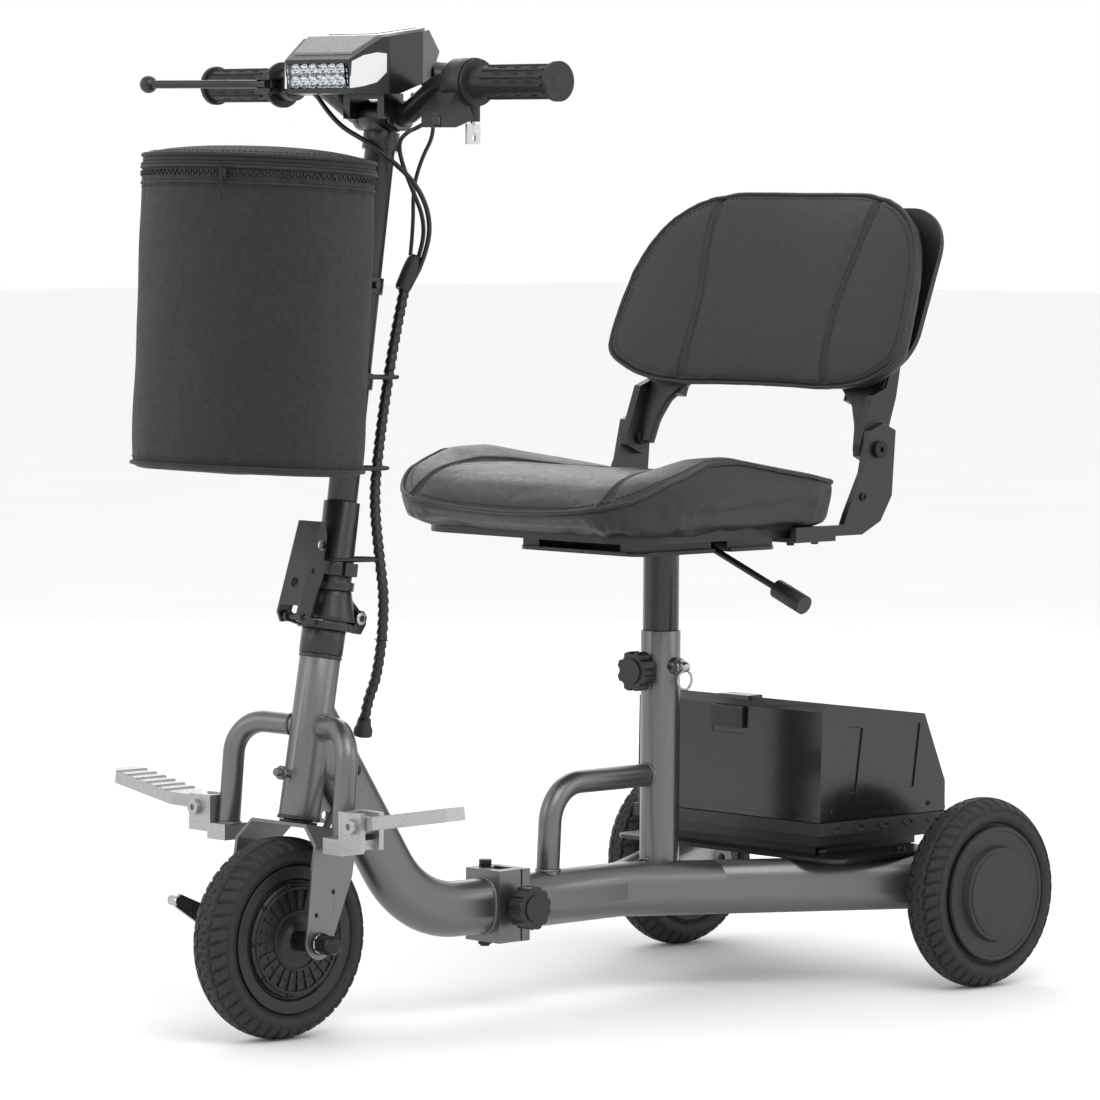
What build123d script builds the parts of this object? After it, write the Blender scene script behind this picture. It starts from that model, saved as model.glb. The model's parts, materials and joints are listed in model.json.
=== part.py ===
from build123d import *
import math
import os

# Three-wheeled folding mobility scooter. Millimetres, +Z up, the scooter faces -Y and +X is the
# rider's left. Y is measured from the front axle while the pieces are made, and every piece is
# moved by -CENTRE_Y when it is written, so that the origin is on the ground at mid length.

# ---------------------------------------------------------------- driving dimensions
CENTRE_Y = 366.0
RUN = 0.05  # radial clearance of a shaft that turns or slides in its hole
GAP = 0.3  # gap between curved faces of pieces that move past each other

WHEEL_R = 100.0
WHEELBASE = 786.0
TRACK = 444.6
FRONT_TYRE_W = 50.0
REAR_TYRE_W = 46.0
RIM_R = 64.0  # bead seat of all three rims
FLANGE_R = 73.0
AXLE_R = 6.0
BEAD_IN = 6.0  # how far the tyre's bead sits inside its widest point

TUBE_H = 57.0  # flat-oval main tube
TUBE_W = 40.0
TUBE_WALL = 2.5
SPINE_Z = 108.0
BEND_Y = 177.0  # where the sloping and level runs of the main tube would meet
BEND_R = 115.0
SLOPE = 56.0  # slope of the front run, degrees
BEAM_START_Y = 470.0
BEAM_END_X = 188.0
BEAM_ANGLE = 30.4  # sweep of each rear beam from the centre line, degrees

PLATE_Y = 286.0  # rear face of the front hinge plate
PLATE_T = 11.0
PLATE_GAP = 21.0  # room for the knuckles between the two hinge plates
PLATE_W = 50.0
PLATE_H = 74.0
HINGE_X = -19.0
HINGE_PIN_R = 5.0
KNUCKLE_R = 9.5
TONGUE_X = 12.0  # inner face of the clamped tongue
TONGUE_SWEEP = 2.2  # room for the tongue to swing clear of the rear block
STUD_R = 4.5
STUD_Y = PLATE_Y + PLATE_GAP / 2 + 1
WASHER_X = 25.3

HEAD_RAKE = 10.0
HEAD_Y = 4.7  # where the steering axis crosses axle height, behind the axle
HEAD_R = 20.5
HEAD_BORE_R = 17.0
HEAD_LOW = 120.0  # along the steering axis, from axle height
HEAD_HIGH = 277.0
STEERER_R = 14.3
FORK_T = 4.0
FORK_HALF = 60.0
FORK_TOP_HALF = 40.0
FORK_CROWN = 113.0
FORK_SHOULDER = 93.0
FORK_DEPTH = 53.0
FORK_END_R = 17.0

FOLD_PLANE = 314.0  # split between the latch base and the folding stem, along the steering axis
FOLD_BACK = 32.0  # fold pin behind the steering axis
FOLD_RISE = 7.4  # fold pin above the split
FOLD_PIN_R = 4.0
LATCH_FRONT = 41.4  # lever pin ahead of the steering axis
LATCH_PIN_R = 3.0
BASE_R = 27.0
BASE_T = 8.0
STEM_RAKE = 8.0
STEM_Y = 76.0
STEM_Z = 490.0
STEM_OUT_R = 18.0
STEM_IN_R = 15.0
STEM_SEAM = 37.0  # along the stem, from STEM_Z

BAR_Y = 132.0
BAR_Z = 940.0
BAR_MID_Z = 908.0
BAR_HALF = 250.0
BAR_R = 11.0
BAR_WALL = 2.5
BAR_SET = 2.0  # middle of the bar behind its ends
BAR_RISE_IN = 34.0  # where the bar starts and stops rising, off centre
BAR_RISE_OUT = 88.0
BAR_BEND_R = 34.0
GRIP_R = 16.0
GRIP_END_R = 19.5

POST_Y = 530.0
SEAT_TUBE_R = 20.75
POST_R = 18.8
SEAT_TUBE_TOP = 376.0
POST_TOP = 458.0
POST_TRAVEL = 50.0
KNOB_Z = 335.0
PIN_SPLIT = 20.0  # from the post's axis; the lock pin's inner end is a piece of its own

SEAT_W = 392.0
SEAT_FRONT = 297.0
SEAT_REAR = 606.0
SEAT_LOW = 493.0
PIVOT_Y = 663.5
PIVOT_Z = 568.7
BACK_Y = 703.0
BACK_Z = 738.0
BACK_RAKE = 21.0
BACK_W = 428.0
BACK_H = 208.0
BACK_T = 40.0

CASE_W = 270.0
CASE_FRONT = 632.0
CASE_LOW = 176.0
CASE_WALL = 3.0
RACK_Z = SPINE_Z + TUBE_H / 2

BAG_Y = -36.0
BAG_Z = 708.0
BAG_RAKE = 3.0
BAG_A = 122.0
BAG_B = 110.0
BAG_LOW = -149.0
BAG_HIGH = 146.0
BAG_WALL = 3.0

PEG_X = 116.0
PEG_Y = 7.0
PEG_Z = 220.4
PEG_ARM_END = 206.0

BEAM_SPLIT_Y = 556.0  # the two beams are separate pieces behind this line
RACK_HOLES = {660: 112.0, 745: 145.0}  # rack bolt rows: distance back, distance off centre
RACK_BOLT_R = 3.0
BRAKE_Y = -36.0
BRAKE_Z = 116.0
BRAKE_SHAFT_R = 4.0
BAND_LOW = -36.0  # stem band, along the stem from STEM_Z
BAND_H = 13.0
KEY_X = 124.0
KEY_BACK = 8.0
KEY_R = 2.4
LEVER_PIVOT = (-128.0, 96.0)
BALL_R = 9.0
LEVER_PIN_R = 3.0
LAMP_FRONT = 42.0
LAMP_REAR = 176.0
LAMP_HALF = 60.0
LOOM_R = 5.0
BRAKE_CABLE_R = 2.5
SWITCH_CABLE_R = 2.2
HORN_CABLE_R = 2.0
BRACKET_IN = 176.0
BRACKET_OUT = 184.0
LINK_PIN_R = 2.5
PIVOT_BOLT_R = 5.0


# ---------------------------------------------------------------- helpers
def box(x0, x1, y0, y1, z0, z1):
    return Pos((x0 + x1) / 2, (y0 + y1) / 2, (z0 + z1) / 2) * Box(x1 - x0, y1 - y0, z1 - z0)


def cyl_x(radius, x0, x1, y=0.0, z=0.0):
    return Pos((x0 + x1) / 2, y, z) * Rot(0, 90, 0) * Cylinder(radius, x1 - x0)


def cyl_y(radius, y0, y1, x=0.0, z=0.0):
    return Pos(x, (y0 + y1) / 2, z) * Rot(90, 0, 0) * Cylinder(radius, y1 - y0)


def cyl_z(radius, z0, z1, x=0.0, y=0.0):
    return Pos(x, y, (z0 + z1) / 2) * Cylinder(radius, z1 - z0)


def ring_z(outer, inner, z0, z1, x=0.0, y=0.0):
    return cyl_z(outer, z0, z1, x, y) - cyl_z(inner, z0 - 1, z1 + 1, x, y)


def ring_x(outer, inner, x0, x1, y=0.0, z=0.0):
    return cyl_x(outer, x0, x1, y, z) - cyl_x(inner, x0 - 1, x1 + 1, y, z)


def rod(start, end, radius):
    start, end = Vector(start), Vector(end)
    run = end - start
    plane = Plane(origin=start, z_dir=run)
    return plane * Cylinder(radius, run.length, align=(Align.CENTER, Align.CENTER, Align.MIN))


def pipe(points, radii, section):
    """Sweep a section face along straight runs joined by arcs."""
    path = FilletPolyline(*points, radius=radii)
    start = Plane(origin=path @ 0, x_dir=(1, 0, 0), z_dir=path % 0)
    return sweep(start * section, path=path)


def side_plate(points, x0, x1):
    """A flat plate in the YZ plane, from x0 to x1."""
    face = make_face(Polyline(*points, close=True))
    return Pos(x0, 0, 0) * extrude(Plane.YZ * face, amount=x1 - x0)


def turned_x(points):
    """A turned part: (x, radius) points revolved round the X axis."""
    return revolve(make_face(Polyline(*points, close=True)), axis=Axis.X)


def both(shape):
    return Compound(children=[shape, mirror(shape, about=Plane.YZ)])


def hexagon_x(flats, x0, x1, y=0.0, z=0.0):
    nut = extrude(RegularPolygon(flats / 2, 6, major_radius=False), amount=x1 - x0)
    return Pos(x0, y, z) * Rot(0, 90, 0) * nut


def lobed_knob(radius, height, lobes, notch):
    """A hand knob standing on its Z axis from 0 up, with grip notches round its rim."""
    body = Pos(0, 0, height / 2) * Cylinder(radius, height)
    for i in range(lobes):
        turn = Rot(0, 0, 360 / lobes * i)
        body -= turn * Pos(radius + notch * 0.35, 0, height / 2) * Cylinder(notch, height + 2)
    cap = Pos(0, 0, height + 1) * Cylinder(radius * 0.62, 2)
    return body + cap


def cord(points, radius):
    """A cord of straight runs and the largest tangent arcs that fit; prints its radii."""
    points = [Vector(*p) for p in points]
    radii = []
    for before, here, after in zip(points, points[1:], points[2:]):
        turn = (here - before).get_angle(after - here)
        run = min((here - before).length, (after - here).length)
        radii.append(round(0.45 * run / math.tan(math.radians(turn / 2)), 1))
    path = FilletPolyline(*points, radius=radii)
    print("cord radii", radii, "length", round(path.length))
    start = Plane(origin=path @ 0, z_dir=path % 0)
    return sweep(start * Circle(radius), path=path)


def oval(width, height):
    """A flat-oval face, tall along Y."""
    return Rot(0, 0, 90) * SlotOverall(height, width)


STEER = Pos(0, HEAD_Y, WHEEL_R) * Rot(-HEAD_RAKE, 0, 0)
STEM = Pos(0, STEM_Y, STEM_Z) * Rot(-STEM_RAKE, 0, 0)
BACK = Pos(0, BACK_Y, BACK_Z) * Rot(-BACK_RAKE, 0, 0)
BAG = Pos(0, BAG_Y, BAG_Z) * Rot(-BAG_RAKE, 0, 0)


def steer_y(z):
    return HEAD_Y + (z - WHEEL_R) * math.tan(math.radians(HEAD_RAKE))


# ---------------------------------------------------------------- rear frame
def beam_place(side):
    """The frame of a rear beam: local Z along it, local Y up, starting on the centre line."""
    sweep_angle = math.radians(BEAM_ANGLE)
    along = (side * math.sin(sweep_angle), math.cos(sweep_angle), 0)
    return Plane(origin=(0, BEAM_START_Y, SPINE_Z), x_dir=(math.cos(sweep_angle),
                                                           -side * math.sin(sweep_angle), 0),
                 z_dir=along)


def beams(width, height, lead):
    reach = BEAM_END_X / math.sin(math.radians(BEAM_ANGLE)) + 60
    both_beams = None
    for side in (-1, 1):
        plane = beam_place(side)
        if abs(plane.y_dir.Z) < 0.9:
            raise ValueError("beam section is not upright")
        one = extrude(plane * oval(width, height), amount=reach)
        both_beams = one if both_beams is None else both_beams + one
    half = BEAM_END_X - lead
    return both_beams & box(-half, half, BEAM_START_Y - 60, WHEELBASE + 120, 0, 300)


def make_rear_frame():
    rear_plate_y = PLATE_Y + PLATE_GAP
    spine_start = rear_plate_y + 1
    level = Plane(origin=(0, spine_start, SPINE_Z), x_dir=(1, 0, 0), z_dir=(0, 1, 0))
    spine = extrude(level * oval(TUBE_W, TUBE_H), amount=BEAM_START_Y + 12 - spine_start)
    inner = extrude(
        level * oval(TUBE_W - 2 * TUBE_WALL, TUBE_H - 2 * TUBE_WALL),
        amount=BEAM_START_Y + 12 - spine_start,
    )
    solid = spine + beams(TUBE_W, TUBE_H, 0)
    hollow = inner + beams(TUBE_W - 2 * TUBE_WALL, TUBE_H - 2 * TUBE_WALL, 5)
    frame = solid
    brace_r = 12
    brace = pipe(
        [(0, POST_Y - 10, 225), (0, 372, 225), (0, 367, SPINE_Z + TUBE_H / 2 - 6)],
        42,
        Circle(brace_r),
    )
    frame += brace
    frame += cyl_z(SEAT_TUBE_R, SPINE_Z, SEAT_TUBE_TOP, 0, POST_Y)
    knob_boss = cyl_y(9, POST_Y - SEAT_TUBE_R - 7, POST_Y, 0, KNOB_Z)
    pin_boss = cyl_x(9, 0, SEAT_TUBE_R + 7, POST_Y, KNOB_Z + 5)
    frame += knob_boss + pin_boss
    frame -= hollow
    frame += ring_z(SEAT_TUBE_R, POST_R + RUN, SPINE_Z - TUBE_H / 2 + 1, SEAT_TUBE_TOP, 0, POST_Y)
    frame -= cyl_z(POST_R + RUN, SPINE_Z - TUBE_H / 2 - 5, SEAT_TUBE_TOP + 1, 0, POST_Y)
    frame -= cyl_y(4 + RUN, POST_Y - 60, POST_Y, 0, KNOB_Z)
    frame -= cyl_x(4 + RUN, 0, SEAT_TUBE_R + 20, POST_Y, KNOB_Z + 5)
    # rear hinge plate with the middle knuckle and the clamp stud's block
    plate = box(-PLATE_W / 2, PLATE_W / 2, rear_plate_y, rear_plate_y + PLATE_T, SPINE_Z - PLATE_H / 2,
                SPINE_Z + PLATE_H / 2)
    pin_y = PLATE_Y + PLATE_GAP / 2
    knuckle = cyl_z(KNUCKLE_R, SPINE_Z - 20, SPINE_Z + 20, HINGE_X, pin_y)
    knuckle += box(HINGE_X - KNUCKLE_R, HINGE_X + KNUCKLE_R, pin_y, rear_plate_y, SPINE_Z - 20,
                   SPINE_Z + 20)
    block = box(2, TONGUE_X - TONGUE_SWEEP, PLATE_Y + 1, rear_plate_y, SPINE_Z - 20, SPINE_Z + 20)
    frame += plate + knuckle + block
    frame -= cyl_x(STUD_R, 0, TONGUE_X, STUD_Y, SPINE_Z)
    frame -= cyl_z(HINGE_PIN_R, SPINE_Z - 21, SPINE_Z + 21, HINGE_X, pin_y)
    # axle bosses at the beam ends, and drain holes
    for side in (-1, 1):
        x0, x1 = sorted((side * (BEAM_END_X - 30), side * BEAM_END_X))
        frame += cyl_x(16, x0, x1, WHEELBASE, WHEEL_R)
        frame -= cyl_x(AXLE_R, min(x0, x1) - 2, max(x0, x1) + 2, WHEELBASE, WHEEL_R)
        frame -= cyl_z(4, SPINE_Z - 40, SPINE_Z, side * 60, BEAM_START_Y + 102)
        for y, x in RACK_HOLES.items():
            frame -= cyl_z(RACK_BOLT_R, RACK_Z - 8, RACK_Z + 1, side * x, y)
    return frame


def split_rear_frame(frame):
    """The welded frame as the pieces it's made of: spine and seat tube, brace tube, two beams."""
    behind = box(-300, 300, BEAM_SPLIT_Y, 1000, 0, 300)
    tube_top = box(-20, 20, POST_Y - 60, POST_Y - SEAT_TUBE_R - GAP, 170, 260)
    spine_top = box(-20, 20, 340, POST_Y - SEAT_TUBE_R - GAP, RACK_Z, 260)
    brace = frame & (spine_top + tube_top)
    return frame - behind - spine_top - tube_top, brace, frame & behind


def make_rack_plate():
    plate = extrude(Pos(0, 712, RACK_Z) * RectangleRounded(330, 176, 18), amount=4)
    plate -= box(-60, 60, 660, 760, RACK_Z - 1, RACK_Z + 5)
    shapes = []
    for y, x in RACK_HOLES.items():
        for side in (-1, 1):
            plate -= cyl_z(3 + RUN, RACK_Z - 1, RACK_Z + 5, side * x, y)
            bolt = cyl_z(3, RACK_Z - 7, RACK_Z + 4, side * x, y)
            bolt += cyl_z(5.5, RACK_Z + 4, RACK_Z + 8, side * x, y)
            shapes.append(bolt)
    return Compound(children=[plate] + shapes)


def rear_axles():
    """Stub axles with a flange against the beam boss and a nut inside the rim's pocket."""
    stub = cyl_x(AXLE_R, BEAM_END_X - 28, TRACK / 2 + 12, WHEELBASE, WHEEL_R)
    stub += cyl_x(11, BEAM_END_X, BEAM_END_X + 3, WHEELBASE, WHEEL_R)
    stub += hexagon_x(17, TRACK / 2 + 6.3, TRACK / 2 + 13, WHEELBASE, WHEEL_R)
    return [stub, mirror(stub, about=Plane.YZ)]


# ---------------------------------------------------------------- wheels
def tyre(half_width):
    """A tyre section revolved round X: bead, bulging sidewall and a crowned tread."""
    shoulder = WHEEL_R - 7
    bead = half_width - BEAD_IN
    low = make_face(
        Polyline((bead, RIM_R + 9.5), (bead, RIM_R), (-bead, RIM_R), (-bead, RIM_R + 9.5))
        + ThreePointArc((-bead, RIM_R + 9.5), (-half_width, RIM_R + 19), (-(half_width - 4), shoulder))
        + ThreePointArc((-(half_width - 4), shoulder), (0, WHEEL_R), (half_width - 4, shoulder))
        + ThreePointArc((half_width - 4, shoulder), (half_width, RIM_R + 19), (bead, RIM_R + 9.5))
    )
    return revolve(low, axis=Axis.X)


def make_rear_rim():
    """Moulded rim, outer face towards +X; the nut pocket is closed by the raised disc."""
    half = REAR_TYRE_W / 2
    bore = AXLE_R + RUN
    rim = turned_x(
        [
            (-18, bore), (-18, 16), (-6, 20), (-6, 54), (-half + 2, 58), (-half + 2, FLANGE_R - 2),
            (-half + BEAD_IN, FLANGE_R - 2), (-half + BEAD_IN, RIM_R), (half - BEAD_IN, RIM_R),
            (half - BEAD_IN, FLANGE_R - 2), (half - 1, FLANGE_R - 2), (half, FLANGE_R - 4), (half, 51),
            (half + 6, 49), (half + 6, 0), (half + 3, 0), (half + 3, 12), (6, 12), (6, bore),
        ]
    )
    return rim


def make_front_rim():
    """Hub motor shell and rim in one casting, bored for its axle."""
    half = FRONT_TYRE_W / 2
    bore = AXLE_R + RUN
    right = [(-half + BEAD_IN, RIM_R), (-half + BEAD_IN, FLANGE_R), (-half + 2, FLANGE_R),
             (-half + 2, 61),
             (-20, 59), (-20, 57), (-27, 55), (-27, bore)]
    left = [(32, bore), (32, 14), (28, 20), (26, 55), (24, 57), (20, 57), (20, 59),
            (half - 2, 61), (half - 2, FLANGE_R), (half - BEAD_IN, FLANGE_R), (half - BEAD_IN, RIM_R)]
    return turned_x(right + left)


def make_front_axle():
    """Axle, spacers, washers, nuts and domed end caps."""
    leg_in, leg_out = FORK_HALF - FORK_T, FORK_HALF
    axle = cyl_x(AXLE_R, -(leg_out + 20), leg_out + 20)
    shapes = [axle]
    shapes.append(ring_x(10, AXLE_R, 32.3, leg_in))
    shapes.append(ring_x(10, AXLE_R, -leg_in, -45))
    for side in (-1, 1):
        washer = ring_x(11, AXLE_R, leg_out, leg_out + 2)
        nut = hexagon_x(18, leg_out + 2, leg_out + 11) - cyl_x(AXLE_R, leg_out, leg_out + 30)
        cap = turned_x([(leg_out + 11, AXLE_R), (leg_out + 11, 9.5), (leg_out + 20, 9.5),
                        (leg_out + 25, 7),
                        (leg_out + 26.5, 3), (leg_out + 26.5, 0), (leg_out + 20, 0),
                        (leg_out + 20, AXLE_R)])
        for piece in (washer, nut, cap):
            shapes.append(piece if side > 0 else mirror(piece, about=Plane.YZ))
    return Pos(0, 0, WHEEL_R) * Compound(children=shapes)


def make_brake_plate():
    """Drum brake back plate, fixed on the axle, with the cam shaft's boss."""
    plate = cyl_x(50, -33, -28) + cyl_x(14, -45, -33)
    plate += cyl_x(9, -40, -33, BRAKE_Y, BRAKE_Z - WHEEL_R)
    plate -= cyl_x(AXLE_R, -50, -20)
    plate -= cyl_x(BRAKE_SHAFT_R + RUN, -50, -20, BRAKE_Y, BRAKE_Z - WHEEL_R)
    return Pos(0, 0, WHEEL_R) * plate


def make_brake_arm():
    """Cam shaft and arm, with the cable's swivel at its end."""
    arm = side_plate([(BRAKE_Y - 4, BRAKE_Z - 10), (BRAKE_Y + 9, BRAKE_Z - 3),
                      (BRAKE_Y + 4, BRAKE_Z + 10),
                      (BRAKE_Y - 36, BRAKE_Z + 27), (BRAKE_Y - 42, BRAKE_Z + 15)], -69, -65)
    arm += cyl_x(BRAKE_SHAFT_R, -69, -29, BRAKE_Y, BRAKE_Z)
    arm += cyl_x(7, -65, -60, BRAKE_Y, BRAKE_Z)
    arm += cyl_x(5, -78, -65, BRAKE_Y - 37, BRAKE_Z + 20)
    return arm


# ---------------------------------------------------------------- front frame
def peg_arm(side):
    """A tube from the head tube's side, out and down to the peg bracket."""
    top_z, top_y = 306, steer_y(306)
    return pipe(
        [(side * 12, top_y, top_z), (side * 84, 16, top_z + 4), (side * 84, PEG_Y, PEG_ARM_END - 4)],
        34,
        Circle(11),
    )


def make_front_frame():
    slope = math.radians(SLOPE)
    reach = 250
    start = (0, BEND_Y - reach * math.cos(slope), SPINE_Z + 2 + reach * math.sin(slope))
    route = [start, (0, BEND_Y, SPINE_Z), (0, PLATE_Y - PLATE_T + 1, SPINE_Z)]
    ahead = STEER * box(-60, 60, -80, 0, 0, 400)
    hollow = pipe(route, BEND_R, oval(TUBE_W - 2 * TUBE_WALL, TUBE_H - 2 * TUBE_WALL)) - ahead
    frame = pipe(route, BEND_R, oval(TUBE_W, TUBE_H)) - ahead - hollow
    frame += STEER * cyl_z(HEAD_R, HEAD_LOW, HEAD_HIGH)
    gusset = side_plate([(35.6, 240), (60, 262), (84, 206), (66, 207.4), (47.6, 210.7), (48.4, 215.2),
                         (35.6, 217.4)], -2.5, 2.5)
    gusset -= cyl_x(4.5, -10, 10, 58, 217)
    frame += gusset - hollow
    for side in (-1, 1):
        frame += peg_arm(side) - hollow - box(-130, 130, -60, 60, 150, PEG_ARM_END)
    plate = box(-PLATE_W / 2, PLATE_W / 2, PLATE_Y - PLATE_T, PLATE_Y, SPINE_Z - PLATE_H / 2,
                SPINE_Z + PLATE_H / 2)
    pin_y = PLATE_Y + PLATE_GAP / 2
    for z0, z1 in ((SPINE_Z - PLATE_H / 2, SPINE_Z - 20 - GAP),
                   (SPINE_Z + 20 + GAP, SPINE_Z + PLATE_H / 2)):
        plate += cyl_z(KNUCKLE_R, z0, z1, HINGE_X, pin_y)
        plate += box(HINGE_X - KNUCKLE_R + 2, HINGE_X + KNUCKLE_R, PLATE_Y - 1, pin_y, z0, z1)
    # tongue with a slot that opens rearwards, gripped by the clamp knob
    tongue = box(TONGUE_X, PLATE_W / 2 - 1, PLATE_Y - 1, PLATE_Y + PLATE_GAP - 1, SPINE_Z - PLATE_H / 2,
                 SPINE_Z + PLATE_H / 2)
    tongue -= box(0, PLATE_W, STUD_Y - 5, PLATE_Y + PLATE_GAP, SPINE_Z - 5, SPINE_Z + 5)
    plate += tongue
    frame += plate
    frame -= cyl_z(HINGE_PIN_R + RUN, SPINE_Z - 60, SPINE_Z + 60, HINGE_X, pin_y)
    frame -= STEER * cyl_z(HEAD_BORE_R, HEAD_LOW - 1, HEAD_HIGH + 1)
    # flanged stud on the front of the head tube
    stud = STEER * (cyl_y(4, -HEAD_R - 18, -HEAD_R + 2, 0, 160) + cyl_y(7, -HEAD_R - 12, -HEAD_R - 9, 0,
                                                                        160))
    return frame + stud


def make_headset_cups():
    shapes = []
    for low, high, spigot in ((HEAD_LOW - 4, HEAD_LOW, HEAD_LOW + 9),
                              (HEAD_HIGH, HEAD_HIGH + 4, HEAD_HIGH - 9)):
        cup = cyl_z(HEAD_R + 1, low, high)
        cup += cyl_z(HEAD_BORE_R, min(low, spigot), max(high, spigot))
        cup -= cyl_z(STEERER_R + RUN, low - 20, high + 20)
        shapes.append(STEER * cup)
    return Compound(children=shapes)


def make_peg_brackets():
    """Welded clevis blocks under the peg arms, with their hinge bolts."""
    shapes = []
    for side in (-1, 1):
        body = box(*sorted((side * 73, side * 100)), PEG_Y - 15, PEG_Y + 15, 190, PEG_ARM_END)
        for y0, y1 in ((PEG_Y - 15, PEG_Y - 9), (PEG_Y + 9, PEG_Y + 15)):
            body += box(*sorted((side * 95.6, side * 128)), y0, y1, 197, PEG_Z + 13)
        body += box(*sorted((side * 95.6, side * 100)), PEG_Y - 15, PEG_Y + 15, 190, PEG_Z + 13)
        body += box(*sorted((side * 95.6, side * 121)), PEG_Y - 15, PEG_Y + 15, 197, 206.5)
        body -= cyl_y(4, PEG_Y - 20, PEG_Y + 20, side * PEG_X, PEG_Z)
        bolt = cyl_y(4, PEG_Y - 15, PEG_Y + 19, side * PEG_X, PEG_Z)
        bolt += cyl_y(7.5, PEG_Y - 21, PEG_Y - 15, side * PEG_X, PEG_Z)
        bolt += cyl_y(6.5, PEG_Y + 15, PEG_Y + 19, side * PEG_X, PEG_Z)
        bolt -= cyl_y(3.2, PEG_Y - 22, PEG_Y - 18, side * PEG_X, PEG_Z)
        shapes += [body, bolt]
    return Compound(children=shapes)


def make_peg(side):
    """A folding foot peg: tapering bar with a scalloped top, hinged on its bolt."""
    tread = extrude(
        make_face(
            Polyline((0, -8.6), (16, -8.6), (30, -20), (118, -20), (128, -12), (128, 12), (118, 20),
                     (30, 20),
                     (16, 8.6), (0, 8.6), close=True)
        ),
        amount=13,
    )
    tread -= Pos(84, 0, -1) * Box(70, 26, 16)
    for i in range(6):
        tread -= Pos(38 + 15 * i, 0, 17) * Rot(90, 0, 0) * Cylinder(6, 60)
    eye = cyl_y(9, -8.6, 8.6, 0, 0) - cyl_y(4 + RUN, -20, 20, 0, 0)
    tread = Pos(4, 0, -6) * tread - cyl_y(4 + RUN, -20, 20, 0, 0)
    peg = eye + tread
    peg -= cyl_y(4 + RUN, -20, 20, 0, 0)
    peg -= box(-30, 9.2, -30, 30, -30, -9)
    peg = Rot(0, -9.5, 0) * peg
    if side < 0:
        peg = mirror(peg, about=Plane.YZ)
    return Pos(side * PEG_X, PEG_Y, PEG_Z) * peg


# ---------------------------------------------------------------- frame hinge
def make_rear_bolts():
    """Rear axles, the hinge pin with its heads, and the clamp stud with its washer."""
    pin_y = PLATE_Y + PLATE_GAP / 2
    low, high = SPINE_Z - PLATE_H / 2, SPINE_Z + PLATE_H / 2
    pin = cyl_z(HINGE_PIN_R, low - 8, high + 6, HINGE_X, pin_y)
    pin += cyl_z(6.5, high + 0.3, high + 7, HINGE_X, pin_y)
    pin += cyl_z(7, low - 6, low - 0.3, HINGE_X, pin_y)
    stud = cyl_x(STUD_R, 3, WASHER_X + 14, STUD_Y, SPINE_Z)
    stud += cyl_x(11, WASHER_X, WASHER_X + 3, STUD_Y, SPINE_Z)
    return Compound(children=[*rear_axles(), pin, stud])


def make_clamp_knob():
    knob = lobed_knob(22, 18, 12, 3.2)
    knob += Pos(0, 0, -4) * Cylinder(12, 8)
    knob -= Pos(0, 0, -2) * Cylinder(STUD_R + RUN, 18)
    return Pos(WASHER_X + 11.3, STUD_Y, SPINE_Z) * Rot(0, 90, 0) * knob


# ---------------------------------------------------------------- fork
def make_fork():
    """Folded sheet fork welded to its steerer, all in the steering axis's frame."""
    t = FORK_T
    half, top_half = FORK_HALF, FORK_TOP_HALF
    low = -FORK_END_R - 1
    outer = [(-half, low), (-half, FORK_SHOULDER), (-top_half, FORK_CROWN), (top_half, FORK_CROWN),
             (half, FORK_SHOULDER), (half, low)]
    k = t * math.tan(math.radians(22.5))
    inner = [(half - t, low), (half - t, FORK_SHOULDER - k), (top_half - k, FORK_CROWN - t),
             (-top_half + k, FORK_CROWN - t), (-half + t, FORK_SHOULDER - k), (-half + t, low)]
    sheet = extrude(Plane.XZ * make_face(Polyline(*outer, *inner, close=True)), amount=FORK_DEPTH / 2,
                    both=True)
    leg_y = -HEAD_Y * math.cos(math.radians(HEAD_RAKE))
    wide = FORK_DEPTH / 2
    outline = Polyline(
        (-wide, FORK_CROWN + 5), (-wide, FORK_SHOULDER - 25), (leg_y - FORK_END_R, 5),
                       (leg_y - FORK_END_R, 0),
    ) + ThreePointArc((leg_y - FORK_END_R, 0), (leg_y, -FORK_END_R), (leg_y + FORK_END_R, 0))
    outline += Polyline((leg_y + FORK_END_R, 0), (leg_y + FORK_END_R, 5), (wide, FORK_SHOULDER - 25),
                        (wide, FORK_CROWN + 5), (-wide, FORK_CROWN + 5))
    silhouette = extrude(Plane.YZ * make_face(outline), amount=half + 5, both=True)
    sheet = sheet & silhouette
    sheet += cyl_z(STEERER_R, FORK_CROWN - t, FOLD_PLANE - 1)
    sheet -= cyl_z(STEERER_R - 3, FORK_CROWN - t - 1, FOLD_PLANE)
    for y in (leg_y - 9, leg_y + 9):
        for z in (26, 51):
            if (y < leg_y) == (z < 40):
                sheet -= cyl_x(2.2, -half - 5, half + 5, y, z)
    fork = STEER * sheet
    return fork - cyl_x(AXLE_R, -half - 5, half + 5, 0, WHEEL_R)


def make_headset_collar():
    """Black collar round the steerer above the head tube, and the bearing ring on the crown."""
    collar = ring_z(21.8, STEERER_R, HEAD_HIGH + 4.3, FOLD_PLANE - BASE_T)
    ring = ring_z(19, STEERER_R, FORK_CROWN, HEAD_LOW - 4.3)
    return Compound(children=[STEER * collar, STEER * ring])


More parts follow.
